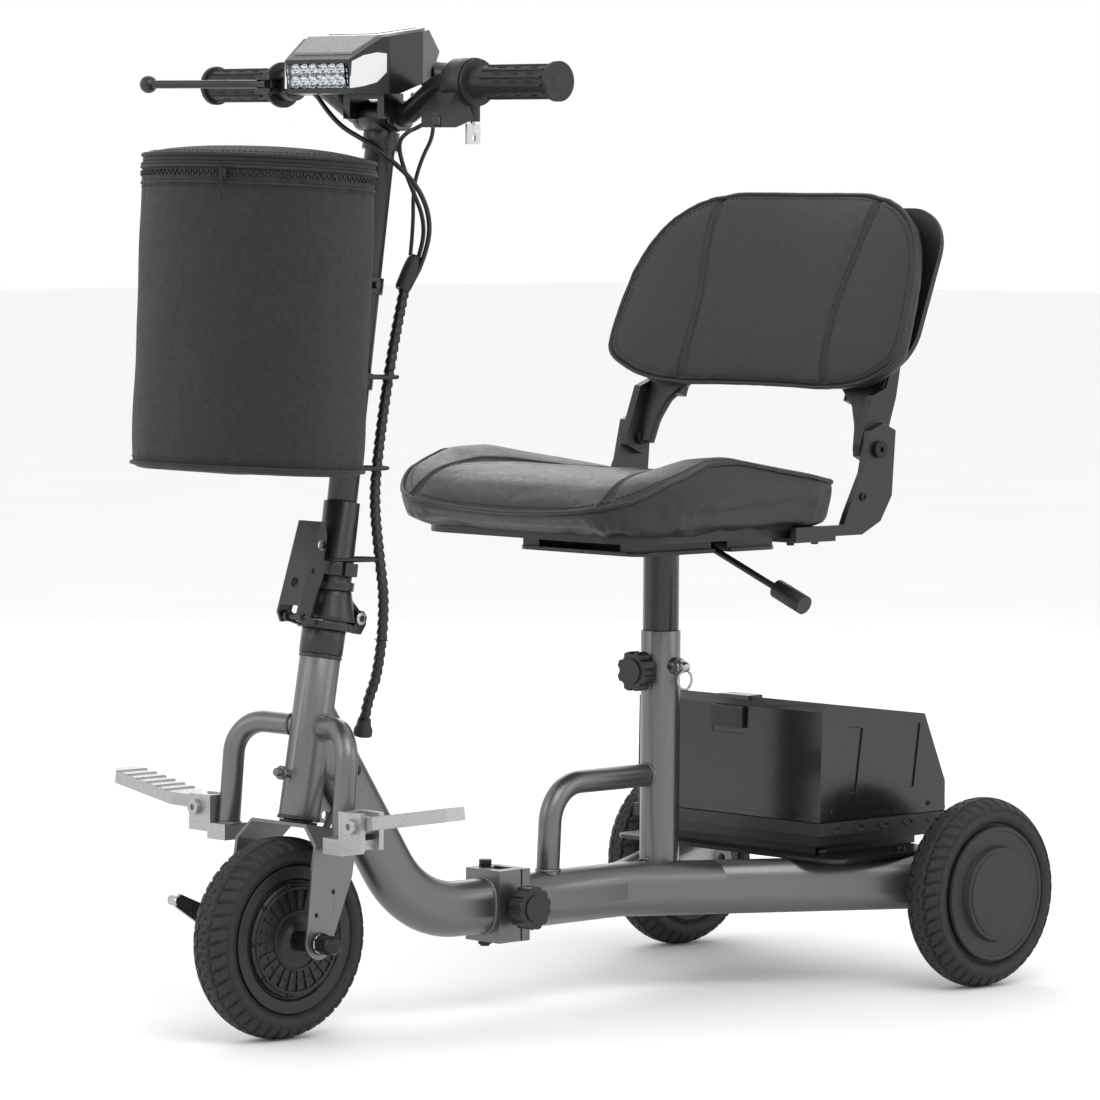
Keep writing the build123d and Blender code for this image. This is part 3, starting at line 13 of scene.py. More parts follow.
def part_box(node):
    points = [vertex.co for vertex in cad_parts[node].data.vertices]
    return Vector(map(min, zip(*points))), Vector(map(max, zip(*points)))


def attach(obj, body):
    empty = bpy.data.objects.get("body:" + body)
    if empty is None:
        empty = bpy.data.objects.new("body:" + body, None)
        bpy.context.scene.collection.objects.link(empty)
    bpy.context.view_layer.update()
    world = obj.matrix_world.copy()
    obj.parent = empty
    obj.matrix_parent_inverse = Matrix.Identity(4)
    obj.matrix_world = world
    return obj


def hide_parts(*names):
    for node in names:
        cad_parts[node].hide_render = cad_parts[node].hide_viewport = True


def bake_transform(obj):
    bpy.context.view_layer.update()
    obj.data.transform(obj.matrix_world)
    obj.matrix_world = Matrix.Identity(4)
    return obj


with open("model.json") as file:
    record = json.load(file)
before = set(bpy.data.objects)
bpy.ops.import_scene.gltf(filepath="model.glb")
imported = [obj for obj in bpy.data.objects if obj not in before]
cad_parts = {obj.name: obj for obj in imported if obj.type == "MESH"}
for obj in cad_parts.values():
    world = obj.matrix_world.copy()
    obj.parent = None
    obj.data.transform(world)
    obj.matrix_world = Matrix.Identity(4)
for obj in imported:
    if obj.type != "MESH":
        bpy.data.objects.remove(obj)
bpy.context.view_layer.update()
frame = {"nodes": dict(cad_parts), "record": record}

bl_info = {
    "name": "Folding scooter looks",
    "version": (1, 0, 0),
    "blender": (4, 5, 0),
    "location": "View3D > Sidebar > Scooter",
    "description": "Builds the soft pieces, trim, finishes and studio of a folding mobility scooter",
    "category": "Object",
}

RECORD = frame["record"]
BODY_OF = {n: b for b, members in RECORD["behaviour"]["bodies"].items() for n in members}


# ---------------------------------------------------------------- places, in millimetres from the front axle
def middle(node):
    low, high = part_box(node)
    return (low + high) / 2


AXLE = middle("front_tyre")
WHEEL_R = (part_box("front_tyre")[1].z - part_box("front_tyre")[0].z) / 2 * 1000
REAR_AXLE_Y = (middle("rear_left_tyre").y - AXLE.y) * 1000
HALF_TRACK = middle("rear_left_tyre").x * 1000


def at(x, y, z):
    """A point in metres of the model's frame, from millimetres of height, width and distance behind the axle."""
    return Vector((x / 1000, AXLE.y + y / 1000, z / 1000))


def tilted(y, z, degrees):
    """The frame of a part that leans back by an angle."""
    return Matrix.Translation(at(0, y, z)) @ Matrix.Rotation(math.radians(-degrees), 4, "X")


STEER = tilted(4.7, 100, 10)
STEM = tilted(76, 490, 8)
BACK = tilted(703, 738, 21)
BAG = tilted(-36, 708, 3)
BAR_Y, BAR_Z, BAR_MID_Z = 132, 940, 908


def local(place, x, y, z):
    """A point of a tilted part's own frame, given in millimetres."""
    return place @ Vector((x / 1000, y / 1000, z / 1000))


# ---------------------------------------------------------------- settings
class ScooterColours(PropertyGroup):
    """Colours of the main finishes."""

    frame: FloatVectorProperty(
        name="Frame", description="Metallic paint of the frame", subtype="COLOR", default=(0.15, 0.145, 0.145))
    fork: FloatVectorProperty(
        name="Fork", description="Metallic paint of the fork", subtype="COLOR", default=(0.17, 0.165, 0.168))
    metal: FloatVectorProperty(
        name="Black parts", description="Black paint of the stem and bar", subtype="COLOR", default=(0.006, 0.006, 0.0065))
    vinyl: FloatVectorProperty(
        name="Seat", description="Vinyl of the seat and backrest", subtype="COLOR", default=(0.0075, 0.0075, 0.0085))
    bag: FloatVectorProperty(
        name="Bag", description="Woven fabric of the bag", subtype="COLOR", default=(0.0055, 0.0058, 0.0068))
    floor: FloatVectorProperty(
        name="Floor", description="Studio floor", subtype="COLOR", default=(0.92, 0.92, 0.92))


class ScooterSizes(PropertyGroup):
    """Sizes of the trim."""

    edge: FloatProperty(
        name="Edge rounding", description="Width of the rounding on hard edges", default=0.0007, unit="LENGTH")
    piping: FloatProperty(
        name="Piping", description="Radius of the piping on seat and bag", default=0.0024, unit="LENGTH")
    stitch: FloatProperty(
        name="Stitch", description="Length of one stitch", default=0.0042, unit="LENGTH")
    thread: FloatProperty(
        name="Thread", description="Radius of the sewing thread", default=0.00042, unit="LENGTH")
    tread: FloatProperty(
        name="Tread depth", description="Depth of the tyre grooves", default=0.0026, unit="LENGTH")
    wrap: FloatProperty(
        name="Wrap pitch", description="Pitch of the spiral wrap round the cables", default=0.009, unit="LENGTH")
    tread_blocks: IntProperty(
        name="Tread blocks", description="Tread blocks round a tyre", default=44, min=12)


def sizes():
    return bpy.context.scene.scooter_sizes


def colours():
    return bpy.context.scene.scooter_colours


# ---------------------------------------------------------------- finishes
def texture(tree, kind, scale, stretch=(1, 1, 1), coordinates="Object", **settings):
    """A procedural texture, laid on the piece in metres."""
    nodes, links = tree.nodes, tree.links
    place = nodes.new("ShaderNodeTexCoord")
    mapping = nodes.new("ShaderNodeMapping")
    mapping.inputs["Scale"].default_value = [scale * s for s in stretch]
    found = nodes.new(kind)
    links.new(place.outputs[coordinates], mapping.inputs["Vector"])
    links.new(mapping.outputs["Vector"], found.inputs["Vector"])
    for key, value in settings.items():
        if key in found.inputs:
            found.inputs[key].default_value = value
        else:
            setattr(found, key, value)
    return found


def spread(tree, value, low, high):
    """A value from 0 to 1 mapped to low to high."""
    node = tree.nodes.new("ShaderNodeMapRange")
    node.inputs["From Min"].default_value = 0.3
    node.inputs["From Max"].default_value = 0.7
    node.inputs["To Min"].default_value = low
    node.inputs["To Max"].default_value = high
    tree.links.new(value, node.inputs["Value"])
    return node.outputs["Result"]


def joined(tree, operation, a, b):
    node = tree.nodes.new("ShaderNodeMath")
    node.operation = operation
    tree.links.new(a, node.inputs[0])
    tree.links.new(b, node.inputs[1])
    return node.outputs[0]


def speckle(scale, detail=4.0):
    return lambda tree: texture(tree, "ShaderNodeTexNoise", scale, Detail=detail).outputs[0]


def brushed(scale):
    return lambda tree: texture(tree, "ShaderNodeTexNoise", scale, (1, 12, 1), Detail=3.0).outputs[0]


def pebbled(scale):
    """Leather-like cells with soft creases between them."""
    def height(tree):
        cells = texture(tree, "ShaderNodeTexVoronoi", scale, feature="SMOOTH_F1", Smoothness=0.4)
        fine = texture(tree, "ShaderNodeTexNoise", scale * 1.7, Detail=3.0)
        return joined(tree, "ADD", cells.outputs["Distance"], fine.outputs[0])
    return height


def woven(threads):
    """A plain weave, laid on the piece's own unrolled surface."""
    def height(tree):
        across = texture(tree, "ShaderNodeTexWave", threads, coordinates="UV", bands_direction="X", wave_profile="SIN")
        along = texture(tree, "ShaderNodeTexWave", threads, coordinates="UV", bands_direction="Y", wave_profile="SIN")
        slubs = texture(tree, "ShaderNodeTexNoise", 420, Detail=4.0)
        both = joined(tree, "MULTIPLY", across.outputs["Fac"], along.outputs["Fac"])
        return joined(tree, "ADD", both, slubs.outputs[0])
    return height


def finish(name, colour, rough, metallic=0.0, coat=0.0, tone=0.12, tone_scale=35.0, rough_spread=0.07,
           rough_scale=60.0, grain=None, grain_depth=0.0001, sheen=0.0):
    """An opaque finish whose tone and gloss drift a little, with a grain in its surface."""
    material = bpy.data.materials.new(name)
    material.use_nodes = True
    tree = material.node_tree
    shader = tree.nodes["Principled BSDF"]
    shader.inputs["Metallic"].default_value = metallic
    shader.inputs["Coat Weight"].default_value = coat
    shader.inputs["Coat Roughness"].default_value = 0.12
    shader.inputs["Sheen Weight"].default_value = sheen
    shader.inputs["Sheen Roughness"].default_value = 0.5
    drift = texture(tree, "ShaderNodeTexNoise", tone_scale, Detail=5.0)
    mix = tree.nodes.new("ShaderNodeMix")
    mix.data_type = "RGBA"
    mix.inputs["A"].default_value = [c * (1 - tone) for c in colour] + [1]
    mix.inputs["B"].default_value = [min(1, c * (1 + tone)) for c in colour] + [1]
    tree.links.new(spread(tree, drift.outputs[0], 0, 1), mix.inputs["Factor"])
    tree.links.new(mix.outputs["Result"], shader.inputs["Base Color"])
    gloss = texture(tree, "ShaderNodeTexNoise", rough_scale, Detail=6.0)
    low, high = max(0.02, rough - rough_spread), min(1, rough + rough_spread)
    tree.links.new(spread(tree, gloss.outputs[0], low, high), shader.inputs["Roughness"])
    if grain:
        bump = tree.nodes.new("ShaderNodeBump")
        bump.inputs["Strength"].default_value = 0.7
        bump.inputs["Distance"].default_value = grain_depth
        tree.links.new(grain(tree), bump.inputs["Height"])
        tree.links.new(bump.outputs["Normal"], shader.inputs["Normal"])
    return material


def clear_lens():
    material = finish("clear_lens", (0.94, 0.96, 0.98), 0.05, tone=0.02, rough_spread=0.02)
    shader = material.node_tree.nodes["Principled BSDF"]
    shader.inputs["Transmission Weight"].default_value = 1.0
    shader.inputs["IOR"].default_value = 1.45
    return material


def glowing_led():
    material = finish("glowing_led", (1.0, 1.0, 1.0), 0.3, tone=0.02)
    shader = material.node_tree.nodes["Principled BSDF"]
    shader.inputs["Emission Color"].default_value = (0.9, 0.96, 1.0, 1)
    shader.inputs["Emission Strength"].default_value = 2.2
    return material


FINISHES = {}


def make_finishes():
    """Every finish of the scooter, those of the record's slots first."""
    c = colours()
    FINISHES.update({
        "frame_paint": finish("frame_paint", c.frame, 0.34, 0.85, 0.25, 0.16, 900, 0.06, 700, speckle(2600), 0.00006),
        "black_paint": finish("black_paint", c.metal, 0.36, 0.0, 0.15, 0.2, 30, 0.08, 50, speckle(1500), 0.00008),
        "fork_paint": finish("fork_paint", c.fork, 0.36, 0.85, 0.2, 0.12, 900, 0.06, 700, speckle(2600), 0.00006),
        "steel": finish("zinc_steel", (0.45, 0.45, 0.46), 0.28, 1.0, 0.0, 0.12, 60, 0.1, 120, brushed(500), 0.00005),
        "peg_metal": finish("cast_aluminium", (0.42, 0.42, 0.425), 0.42, 0.95, 0.0, 0.1, 90, 0.08, 150,
                            speckle(1200), 0.00018),
        "tyre": finish("tyre_rubber", (0.0085, 0.0085, 0.009), 0.66, 0.0, 0.0, 0.3, 25, 0.1, 60, speckle(900), 0.0002),
        "rim_plastic": finish("moulded_rim", (0.009, 0.009, 0.01), 0.5, 0.0, 0.0, 0.15, 40, 0.08, 80,
                              speckle(1800), 0.00012),
        "motor_shell": finish("motor_shell", (0.008, 0.008, 0.0085), 0.4, 0.2, 0.05, 0.2, 40, 0.08, 80,
                              speckle(1500), 0.00012),
        "black_plastic": finish("grained_plastic", (0.008, 0.008, 0.0085), 0.42, 0.0, 0.0, 0.15, 40, 0.07, 60,
                                speckle(1700), 0.00014),
        "gloss_black": finish("gloss_plastic", (0.006, 0.006, 0.007), 0.2, 0.0, 0.25, 0.1, 25, 0.05, 18,
                              speckle(2200), 0.00003),
        "rubber": finish("grip_rubber", (0.009, 0.009, 0.0095), 0.56, 0.0, 0.0, 0.2, 30, 0.08, 70, speckle(1500), 0.0001),
        "vinyl": finish("seat_vinyl", c.vinyl, 0.38, 0.0, 0.0, 0.15, 14, 0.06, 30, pebbled(900), 0.00016),
        "bag_fabric": finish("bag_weave", c.bag, 0.7, 0.0, 0.0, 0.25, 18, 0.08, 40, woven(330), 0.00022, 0.06),
        "lens": clear_lens(),
        "cable": finish("cable_sheath", (0.006, 0.006, 0.0065), 0.4, 0.0, 0.0, 0.15, 40, 0.08, 60, speckle(900), 0.0001),
        "thread": finish("sewing_thread", (0.014, 0.014, 0.015), 0.7, 0.0, 0.0, 0.2, 200, 0.08, 200, speckle(3000), 0.0001),
        "silver_trim": finish("silver_trim", (0.22, 0.225, 0.235), 0.3, 0.85, 0.2, 0.1, 60, 0.06, 60, speckle(2000), 0.00003),
        "reflector": finish("bright_reflector", (0.86, 0.87, 0.88), 0.12, 1.0, 0.0, 0.03, 60, 0.04, 60),
        "led": glowing_led(),
        "display": finish("dark_display", (0.008, 0.009, 0.012), 0.08, 0.0, 0.6, 0.1, 10, 0.03, 12),
        "ring_wire": finish("ring_wire", (0.6, 0.6, 0.61), 0.2, 1.0, 0.0, 0.08, 90, 0.06, 90, brushed(400), 0.00003),
        "rust_free_nut": finish("dark_nut", (0.02, 0.02, 0.021), 0.33, 0.6, 0.0, 0.15, 90, 0.1, 90, brushed(500), 0.00005),
    })


# ---------------------------------------------------------------- mesh helpers
def add_piece(name, verts, faces, material, body=None, sharp=35, slot=None):
    """A mesh piece, smooth but for its sharp edges, that rides on a body."""
    mesh = bpy.data.meshes.new(name)
    mesh.from_pydata([tuple(v) for v in verts], [], faces)
    mesh.validate()
    bm = bmesh.new()
    bm.from_mesh(mesh)
    bmesh.ops.recalc_face_normals(bm, faces=bm.faces)
    bm.to_mesh(mesh)
    bm.free()
    mesh.shade_smooth()
    mesh.set_sharp_from_angle(angle=math.radians(sharp))
    mesh.materials.append(FINISHES[material])
    piece = bpy.data.objects.new(name, mesh)
    bpy.context.scene.collection.objects.link(piece)
    if body:
        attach(piece, body)
    return piece


def skin(rings, closed_rings=True, loop=False, caps=True):
    """Faces that join rings of points one after another."""
    count = len(rings[0])
    verts = [p for ring in rings for p in ring]
    faces = []
    spans = len(rings) if loop else len(rings) - 1
    for i in range(spans):
        a, b = i * count, (i + 1) % len(rings) * count
        for k in range(count if closed_rings else count - 1):
            m = (k + 1) % count
            faces.append((a + k, a + m, b + m, b + k))
    if caps and not loop:
        faces.append(tuple(reversed(range(count))))
        faces.append(tuple(range(len(verts) - count, len(verts))))
    return verts, faces


def gathered(parts):
    """Several (verts, faces) pairs as one."""
    verts, faces = [], []
    for more, these in parts:
        start = len(verts)
        verts += more
        faces += [tuple(start + i for i in f) for f in these]
    return verts, faces


def turned(profile, place, segments=64):
    """A turned solid: (along, radius) points in millimetres, round the X axis of place."""
    rings = []
    for k in range(segments):
        turn = 2 * math.pi * k / segments
        rings.append([place @ Vector((x, r * math.cos(turn), r * math.sin(turn))) * 1 for x, r in
                      [(x / 1000, r / 1000) for x, r in profile]])
    return skin(rings, closed_rings=True, loop=True)


def facing(centre, direction):
    """A frame at centre whose X axis points along direction."""
    turn = Vector(direction).to_track_quat("X", "Z")
    return Matrix.Translation(centre) @ turn.to_matrix().to_4x4()


def smooth_path(points, step, closed=False):
    """Points every step along a smooth line through the given ones."""
    count = len(points)
    dense = []
    for i in range(count if closed else count - 1):
        a, b, c, d = (points[k % count] if closed else points[min(max(k, 0), count - 1)] for k in (i - 1, i, i + 1, i + 2))
        for k in range(12):
            t = k / 12
            dense.append(0.5 * (2 * b + (c - a) * t + (2 * a - 5 * b + 4 * c - d) * t ** 2 + (3 * b - a - 3 * c + d) * t ** 3))
    dense.append(dense[0] if closed else points[-1])
    lengths = [0.0]
    for a, b in zip(dense, dense[1:]):
        lengths.append(lengths[-1] + (b - a).length)
    pieces = max(2, round(lengths[-1] / step))
    found, k = [], 0
    for i in range(pieces + (0 if closed else 1)):
        goal = lengths[-1] * i / pieces
        while k < len(dense) - 2 and lengths[k + 1] < goal:
            k += 1
        run = lengths[k + 1] - lengths[k] or 1
        found.append(dense[k].lerp(dense[k + 1], (goal - lengths[k]) / run))
    return found


def tube(points, radius, sides=10, closed=False):
    """A round tube along points; radius is a number or a function of the point's index."""
    count = len(points)
    rings, normal = [], None
    for i, point in enumerate(points):
        before = points[(i - 1) % count] if closed or i else points[0]
        after = points[(i + 1) % count] if closed or i < count - 1 else points[-1]
        tangent = (after - before).normalized()
        normal = tangent.orthogonal() if normal is None else normal - tangent * normal.dot(tangent)
        normal.normalize()
        side = tangent.cross(normal)
        r = radius(i) if callable(radius) else radius
        rings.append([point + (normal * math.cos(2 * math.pi * k / sides) + side * math.sin(2 * math.pi * k / sides)) * r
                      for k in range(sides)])
    return skin(rings, loop=closed)


def stitched(points, closed=False, normals=None):
    """Single stitches along a line, each a small pill of thread."""
    step = sizes().stitch
    pills = []
    line = smooth_path(points, step * 1.35, closed)
    for a, b in zip(line, line[1:]):
        run = b - a
        r = sizes().thread
        mid = [a + run * t for t in (0.04, 0.2, 0.55, 0.74)]
        widths = (0.35, 1.0, 1.0, 0.35)
        pills.append(tube(mid, lambda i, w=widths, r=r: r * w[i], 6))
    return gathered(pills)


def weld_bead(points, radius, closed=True):
    """A rippled weld bead along a line."""
    line = smooth_path(points, radius * 0.45, closed)
    return tube(line, lambda i: radius * (0.86 + 0.14 * math.sin(i * 1.45)), 8, closed)


def ring_points(place, radius, count=40, x=0.0):
    """A circle in millimetres round the X axis of place."""
    turns = [2 * math.pi * k / count for k in range(count)]
    return [place @ Vector((x / 1000, radius / 1000 * math.cos(t), radius / 1000 * math.sin(t))) for t in turns]


def socket_bolt(centre, direction, radius, height):
    """A cap screw head with a hexagon socket."""
    place = facing(centre, direction)
    head = [(0, radius), (height - 0.6, radius), (height, radius - 0.6), (height, radius * 0.52),
            (height * 0.45, radius * 0.5), (height * 0.45, 0.01), (0, 0.01)]
    return turned(head, place, 24)


def snapped(points, piece, lift):
    """The points moved on to a piece's surface, raised by lift."""
    tree = BVHTree.FromPolygons([v.co for v in piece.data.vertices], [p.vertices[:] for p in piece.data.polygons])
    found = []
    for p in points:
        place, normal, _, _ = tree.find_nearest(p)
        found.append(place + normal * lift)
    return found


def drawn_line(route, radius, name):
    """A cable on a smooth spline that has the route's points as its control points."""
    curve = bpy.data.curves.new(name, "CURVE")
    curve.dimensions = "3D"
    curve.bevel_depth = radius
    curve.bevel_resolution = 4
    curve.resolution_u = 16
    curve.use_fill_caps = True
    spline = curve.splines.new("NURBS")
    spline.points.add(len(route) - 1)
    for point, place in zip(spline.points, route):
        point.co = (*place, 1)
    spline.order_u = 3
    spline.use_endpoint_u = True
    curve.materials.append(FINISHES["cable"])
    piece = bpy.data.objects.new(name, curve)
    bpy.context.scene.collection.objects.link(piece)
    return piece


def line_of(route):
    """The smooth line that drawn_line follows, as points."""
    piece = drawn_line(route, 0.0, "guide")
    bpy.context.view_layer.update()
    mesh = bpy.data.meshes.new_from_object(piece.evaluated_get(bpy.context.evaluated_depsgraph_get()))
    points = [v.co.copy() for v in mesh.vertices]
    bpy.data.objects.remove(piece)
    bpy.data.meshes.remove(mesh)
    return points


# ---------------------------------------------------------------- stage
def build_stage():
    """Pale floor, soft lights and the camera."""
    bpy.ops.mesh.primitive_plane_add(size=60, location=(0, 0, 0))
    floor = bpy.context.object
    floor.name = "studio_floor"
    floor.data.materials.append(finish("studio_paint", colours().floor, 0.7, tone=0.01, tone_scale=0.5))
    for name, place, aim, side, power in (
            ("key_light", (2.6, -1.2, 3.4), (0, 0, 0.4), 2.6, 60),
            ("front_light", (-1.6, -3.6, 2.2), (0, -0.1, 0.5), 2.4, 25),
            ("side_light", (3.6, 2.2, 1.6), (0, 0.2, 0.4), 1.8, 16),
            ("back_light", (-3.0, 2.4, 2.6), (0, 0, 0.5), 2.2, 30)):
        light = bpy.data.lights.new(name, "AREA")
        light.shape = "SQUARE"
        light.size = side
        light.energy = power
        lamp = bpy.data.objects.new(name, light)
        lamp.location = place
        lamp.rotation_euler = (Vector(aim) - Vector(place)).to_track_quat("-Z", "Y").to_euler()
        bpy.context.scene.collection.objects.link(lamp)
    world = bpy.data.worlds.new("studio")
    world.use_nodes = True
    world.node_tree.nodes["Background"].inputs["Color"].default_value = (1.0, 1.0, 1.0, 1)
    world.node_tree.nodes["Background"].inputs["Strength"].default_value = 1.0
    bpy.context.scene.world = world
    bpy.context.scene.view_settings.view_transform = "Standard"
    lens = bpy.data.cameras.new("camera")
    lens.lens = 181.8
    lens.sensor_width = 36
    lens.shift_x = -0.0129
    lens.shift_y = -0.0042
    lens.clip_start = 0.1
    lens.clip_end = 60
    camera = bpy.data.objects.new("camera", lens)
    camera.location = at(4088.6, -3586.5, 841.6)
    yaw, pitch, roll = (math.radians(a) for a in (45.81, 3.72, 0.33))
    look = Vector((-math.sin(yaw) * math.cos(pitch), math.cos(yaw) * math.cos(pitch), -math.sin(pitch)))
    camera.rotation_mode = "QUATERNION"
    camera.rotation_quaternion = look.to_track_quat("-Z", "Y") @ Quaternion((0, 0, 1), roll)
    bpy.context.scene.collection.objects.link(camera)
    bpy.context.scene.camera = camera


DARK_NODES = ("front_axle", "rear_bolts", "backrest_pivots")


def finish_frame_pieces():
    """Gives every piece of the model its finish and rounds its hard edges."""
    slots = {s["node"]: s["material_slot"] for s in RECORD["subparts"]}
    for name, node in frame["nodes"].items():
        node.data.materials.clear()
        node.data.materials.append(FINISHES["rust_free_nut" if name in DARK_NODES else slots[name]])
        weld = node.modifiers.new("Weld", "WELD")
        weld.merge_threshold = 0.00002
        rounding = node.modifiers.new("Rounding", "BEVEL")
        rounding.width = sizes().edge
        rounding.segments = 2
        rounding.limit_method = "ANGLE"
        rounding.angle_limit = math.radians(38)
        rounding.harden_normals = True


# ---------------------------------------------------------------- wheels
def smooth_step(low, high, value):
    t = min(1, max(0, (value - low) / (high - low)))
    return t * t * (3 - 2 * t)


def tread_cut(x, turn, half):
    """Depth share of the tread grooves at x millimetres off the middle and a turn of the wheel."""
    away = abs(x) / half
    blocks = sizes().tread_blocks
    phase = (turn / (2 * math.pi) * blocks + away * 0.75 + (0.5 if x < 0 else 0)) % 1
    cross = smooth_step(0.0, 0.07, phase) * (1 - smooth_step(0.2, 0.27, phase)) * smooth_step(0.3, 0.36, away)
    wave = 0.045 * math.sin(turn * blocks)
    rib = 1 - smooth_step(0.025, 0.06, abs(away - 0.33 - wave))
    nick = smooth_step(0.0, 0.08, phase) * (1 - smooth_step(0.14, 0.22, phase)) * (1 - smooth_step(0.1, 0.16, away)) * 0.7
    return max(cross, rib, nick)


def build_tyre(name, node, body):
    """A tyre with a block tread, plain sidewalls and a rim bead."""
    centre = middle(node)
    half = (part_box(node)[1].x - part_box(node)[0].x) / 2 * 1000
    profile = [(-(half - 6), 64.2), (-(half - 6), 73.6), (-(half - 3.6), 75.4), (-(half - 1.6), 78), (-(half - 0.9), 79.2),
               (-(half - 0.2), 80.2), (-half, 83), (-(half - 0.3), 86), (-(half - 0.9), 88.6), (-(half - 1.9), 91)]
    crown = half - 4
    for k in range(29):
        x = -crown + 2 * crown * k / 28
        profile.append((x, WHEEL_R - 7 * abs(x / crown) ** 2.3))
    profile += [(-x, r) for x, r in reversed(profile[:10])]
    rings = []
    count = sizes().tread_blocks * 12
    for i in range(count):
        turn = 2 * math.pi * i / count
        ring = []
        for x, r in profile:
            fade = smooth_step(85.5, 90.5, r)
            r -= sizes().tread * 1000 * fade * tread_cut(x, turn, half)
            ring.append(centre + Vector((x, r * math.cos(turn), r * math.sin(turn))) / 1000)
        rings.append(ring)
    verts, faces = skin(rings, loop=True)
    piece = add_piece(name, verts, faces, "tyre", body, 50)
    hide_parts(node)
    for side in (-1, 1):
        lines = []
        for radius, x in ((76.5, half - 2.2), (88.2, half - 0.6)):
            place = Matrix.Translation(centre)
            lines.append(tube(ring_points(place, radius, 96, side * x), 0.0006, 6, True))
        add_piece(f"{name}_ridges_{'left' if side > 0 else 'right'}", *gathered(lines), "tyre", body)
    return piece


def build_tyres():
    """Three tyres with the same tread."""
    build_tyre("tyre_front", "front_tyre", "wheel_front")
    for word in ("left", "right"):
        build_tyre(f"tyre_rear_{word}", f"rear_{word}_tyre", f"wheel_rear_{word}")


def box_between(place, x0, x1, y0, y1, z0, z1):
    """A plain bar in millimetres of a frame, as (verts, faces)."""
    ends = [[place @ (Vector((x, y, z)) / 1000) for y, z in ((y0, z0), (y1, z0), (y1, z1), (y0, z1))] for x in (x0, x1)]
    return skin(ends)


def build_hubs():
    """Ribs, rings and screws on the wheels' side faces."""
    front = Matrix.Translation(AXLE)
    parts = []
    for k in range(24):
        spin = front @ Matrix.Rotation(2 * math.pi * k / 24, 4, "X")
        parts.append(box_between(spin, 25.5, 28.6, -0.9, 0.9, 31, 50))
    for radius, x, r in ((29, 27.7, 1.6), (52, 26.6, 1.8), (40, 27.2, 0.8)):
        parts.append(tube(ring_points(front, radius, 72, x), r / 1000, 8, True))
    add_piece("hub_ribs", *gathered(parts), "motor_shell", "wheel_front")
    bolts = []
    for k in range(9):
        turn = 2 * math.pi * (k + 0.5) / 9
        spot = front @ (Vector((25.6, 55.2 * math.cos(turn), 55.2 * math.sin(turn))) / 1000)
        bolts.append(socket_bolt(spot, (1, 0, 0), 2.6, 2.4))
    add_piece("hub_screws", *gathered(bolts), "rust_free_nut", "wheel_front", slot="steel")
    inner = []
    for k in range(12):
        spin = front @ Matrix.Rotation(2 * math.pi * k / 12, 4, "X")
        inner.append(box_between(spin, -20, -18.6, -1.2, 1.2, 60, 66))
    add_piece("rim_lugs_front", *gathered(inner), "motor_shell", "wheel_front")
    for side, word in ((1, "left"), (-1, "right")):
        place = Matrix.Translation(middle(f"rear_{word}_tyre")) @ Matrix.Scale(side, 4, (1, 0, 0))
        rings = [turned([(28.6, 0.01), (28.6, 45), (29.4, 45), (30.0, 44), (30.2, 30), (30.3, 0.01)], place, 96),
                 turned([(22.4, 66), (22.4, 70.6), (23.6, 70.2), (24.0, 68.6), (23.6, 66.6)], place, 96)]
        add_piece(f"rear_cover_{word}", *gathered(rings), "rim_plastic", f"wheel_rear_{word}", 25)
        spokes = []
        for k in range(10):
            spin = place @ Matrix.Rotation(2 * math.pi * k / 10, 4, "X")
            spokes.append(box_between(spin, -14, -5.5, -1.6, 1.6, 19, 56))
        add_piece(f"rear_spokes_{word}", *gathered(spokes), "rim_plastic", f"wheel_rear_{word}")


# ---------------------------------------------------------------- soft pieces
def through(value, table):
    """A smooth value between the table's (place, height) pairs."""
    if value <= table[0][0]:
        return table[0][1]
    for (a, low), (b, high) in zip(table, table[1:]):
        if value <= b:
            return low + (high - low) * (value - a) / (b - a)
    return table[-1][1]


def inflate(piece, pressure, cap, pinned=()):
    """Fills a soft shell with a short cloth simulation; points near the pinned lines stay."""
    mesh = piece.data
    rest = [v.co.copy() for v in mesh.vertices]
    group = piece.vertex_groups.new(name="sewn")
    tree = BVHTree.FromPolygons(pinned, [(i, i, i) for i in range(len(pinned))]) if pinned else None
    for v in mesh.vertices:
        near = tree.find_nearest(v.co, 0.006) if tree else (None,)
        if near[0] is not None:
            group.add([v.index], 1.0, "REPLACE")
    cloth = piece.modifiers.new("Filling", "CLOTH")
    cloth.settings.use_pressure = True
    cloth.settings.uniform_pressure_force = pressure
    cloth.settings.effector_weights.gravity = 0
    cloth.settings.vertex_group_mass = "sewn"
    cloth.settings.quality = 6
    cloth.settings.mass = 0.4
    cloth.settings.tension_stiffness = 20
    cloth.settings.bending_stiffness = 2
    cloth.point_cache.frame_start = 1
    cloth.point_cache.frame_end = 20
    for number in range(1, 21):
        bpy.context.scene.frame_set(number)
    done = piece.evaluated_get(bpy.context.evaluated_depsgraph_get())
    moved = [v.co.copy() for v in done.data.vertices]
    piece.modifiers.remove(cloth)
    for v, start, end in zip(mesh.vertices, rest, moved):
        shift = end - start
        v.co = start + shift * min(1, cap / max(shift.length, 1e-9))
    bpy.context.scene.frame_set(1)


def settled(piece, kind, **settings):
    """Applies one modifier to a mesh piece."""
    modifier = piece.modifiers.new("Work", kind)
    for key, value in settings.items():
        setattr(modifier, key, value)
    graph = bpy.context.evaluated_depsgraph_get()
    mesh = bpy.data.meshes.new_from_object(piece.evaluated_get(graph))
    piece.modifiers.clear()
    old, piece.data = piece.data, mesh
    bpy.data.meshes.remove(old)
    mesh.shade_smooth()


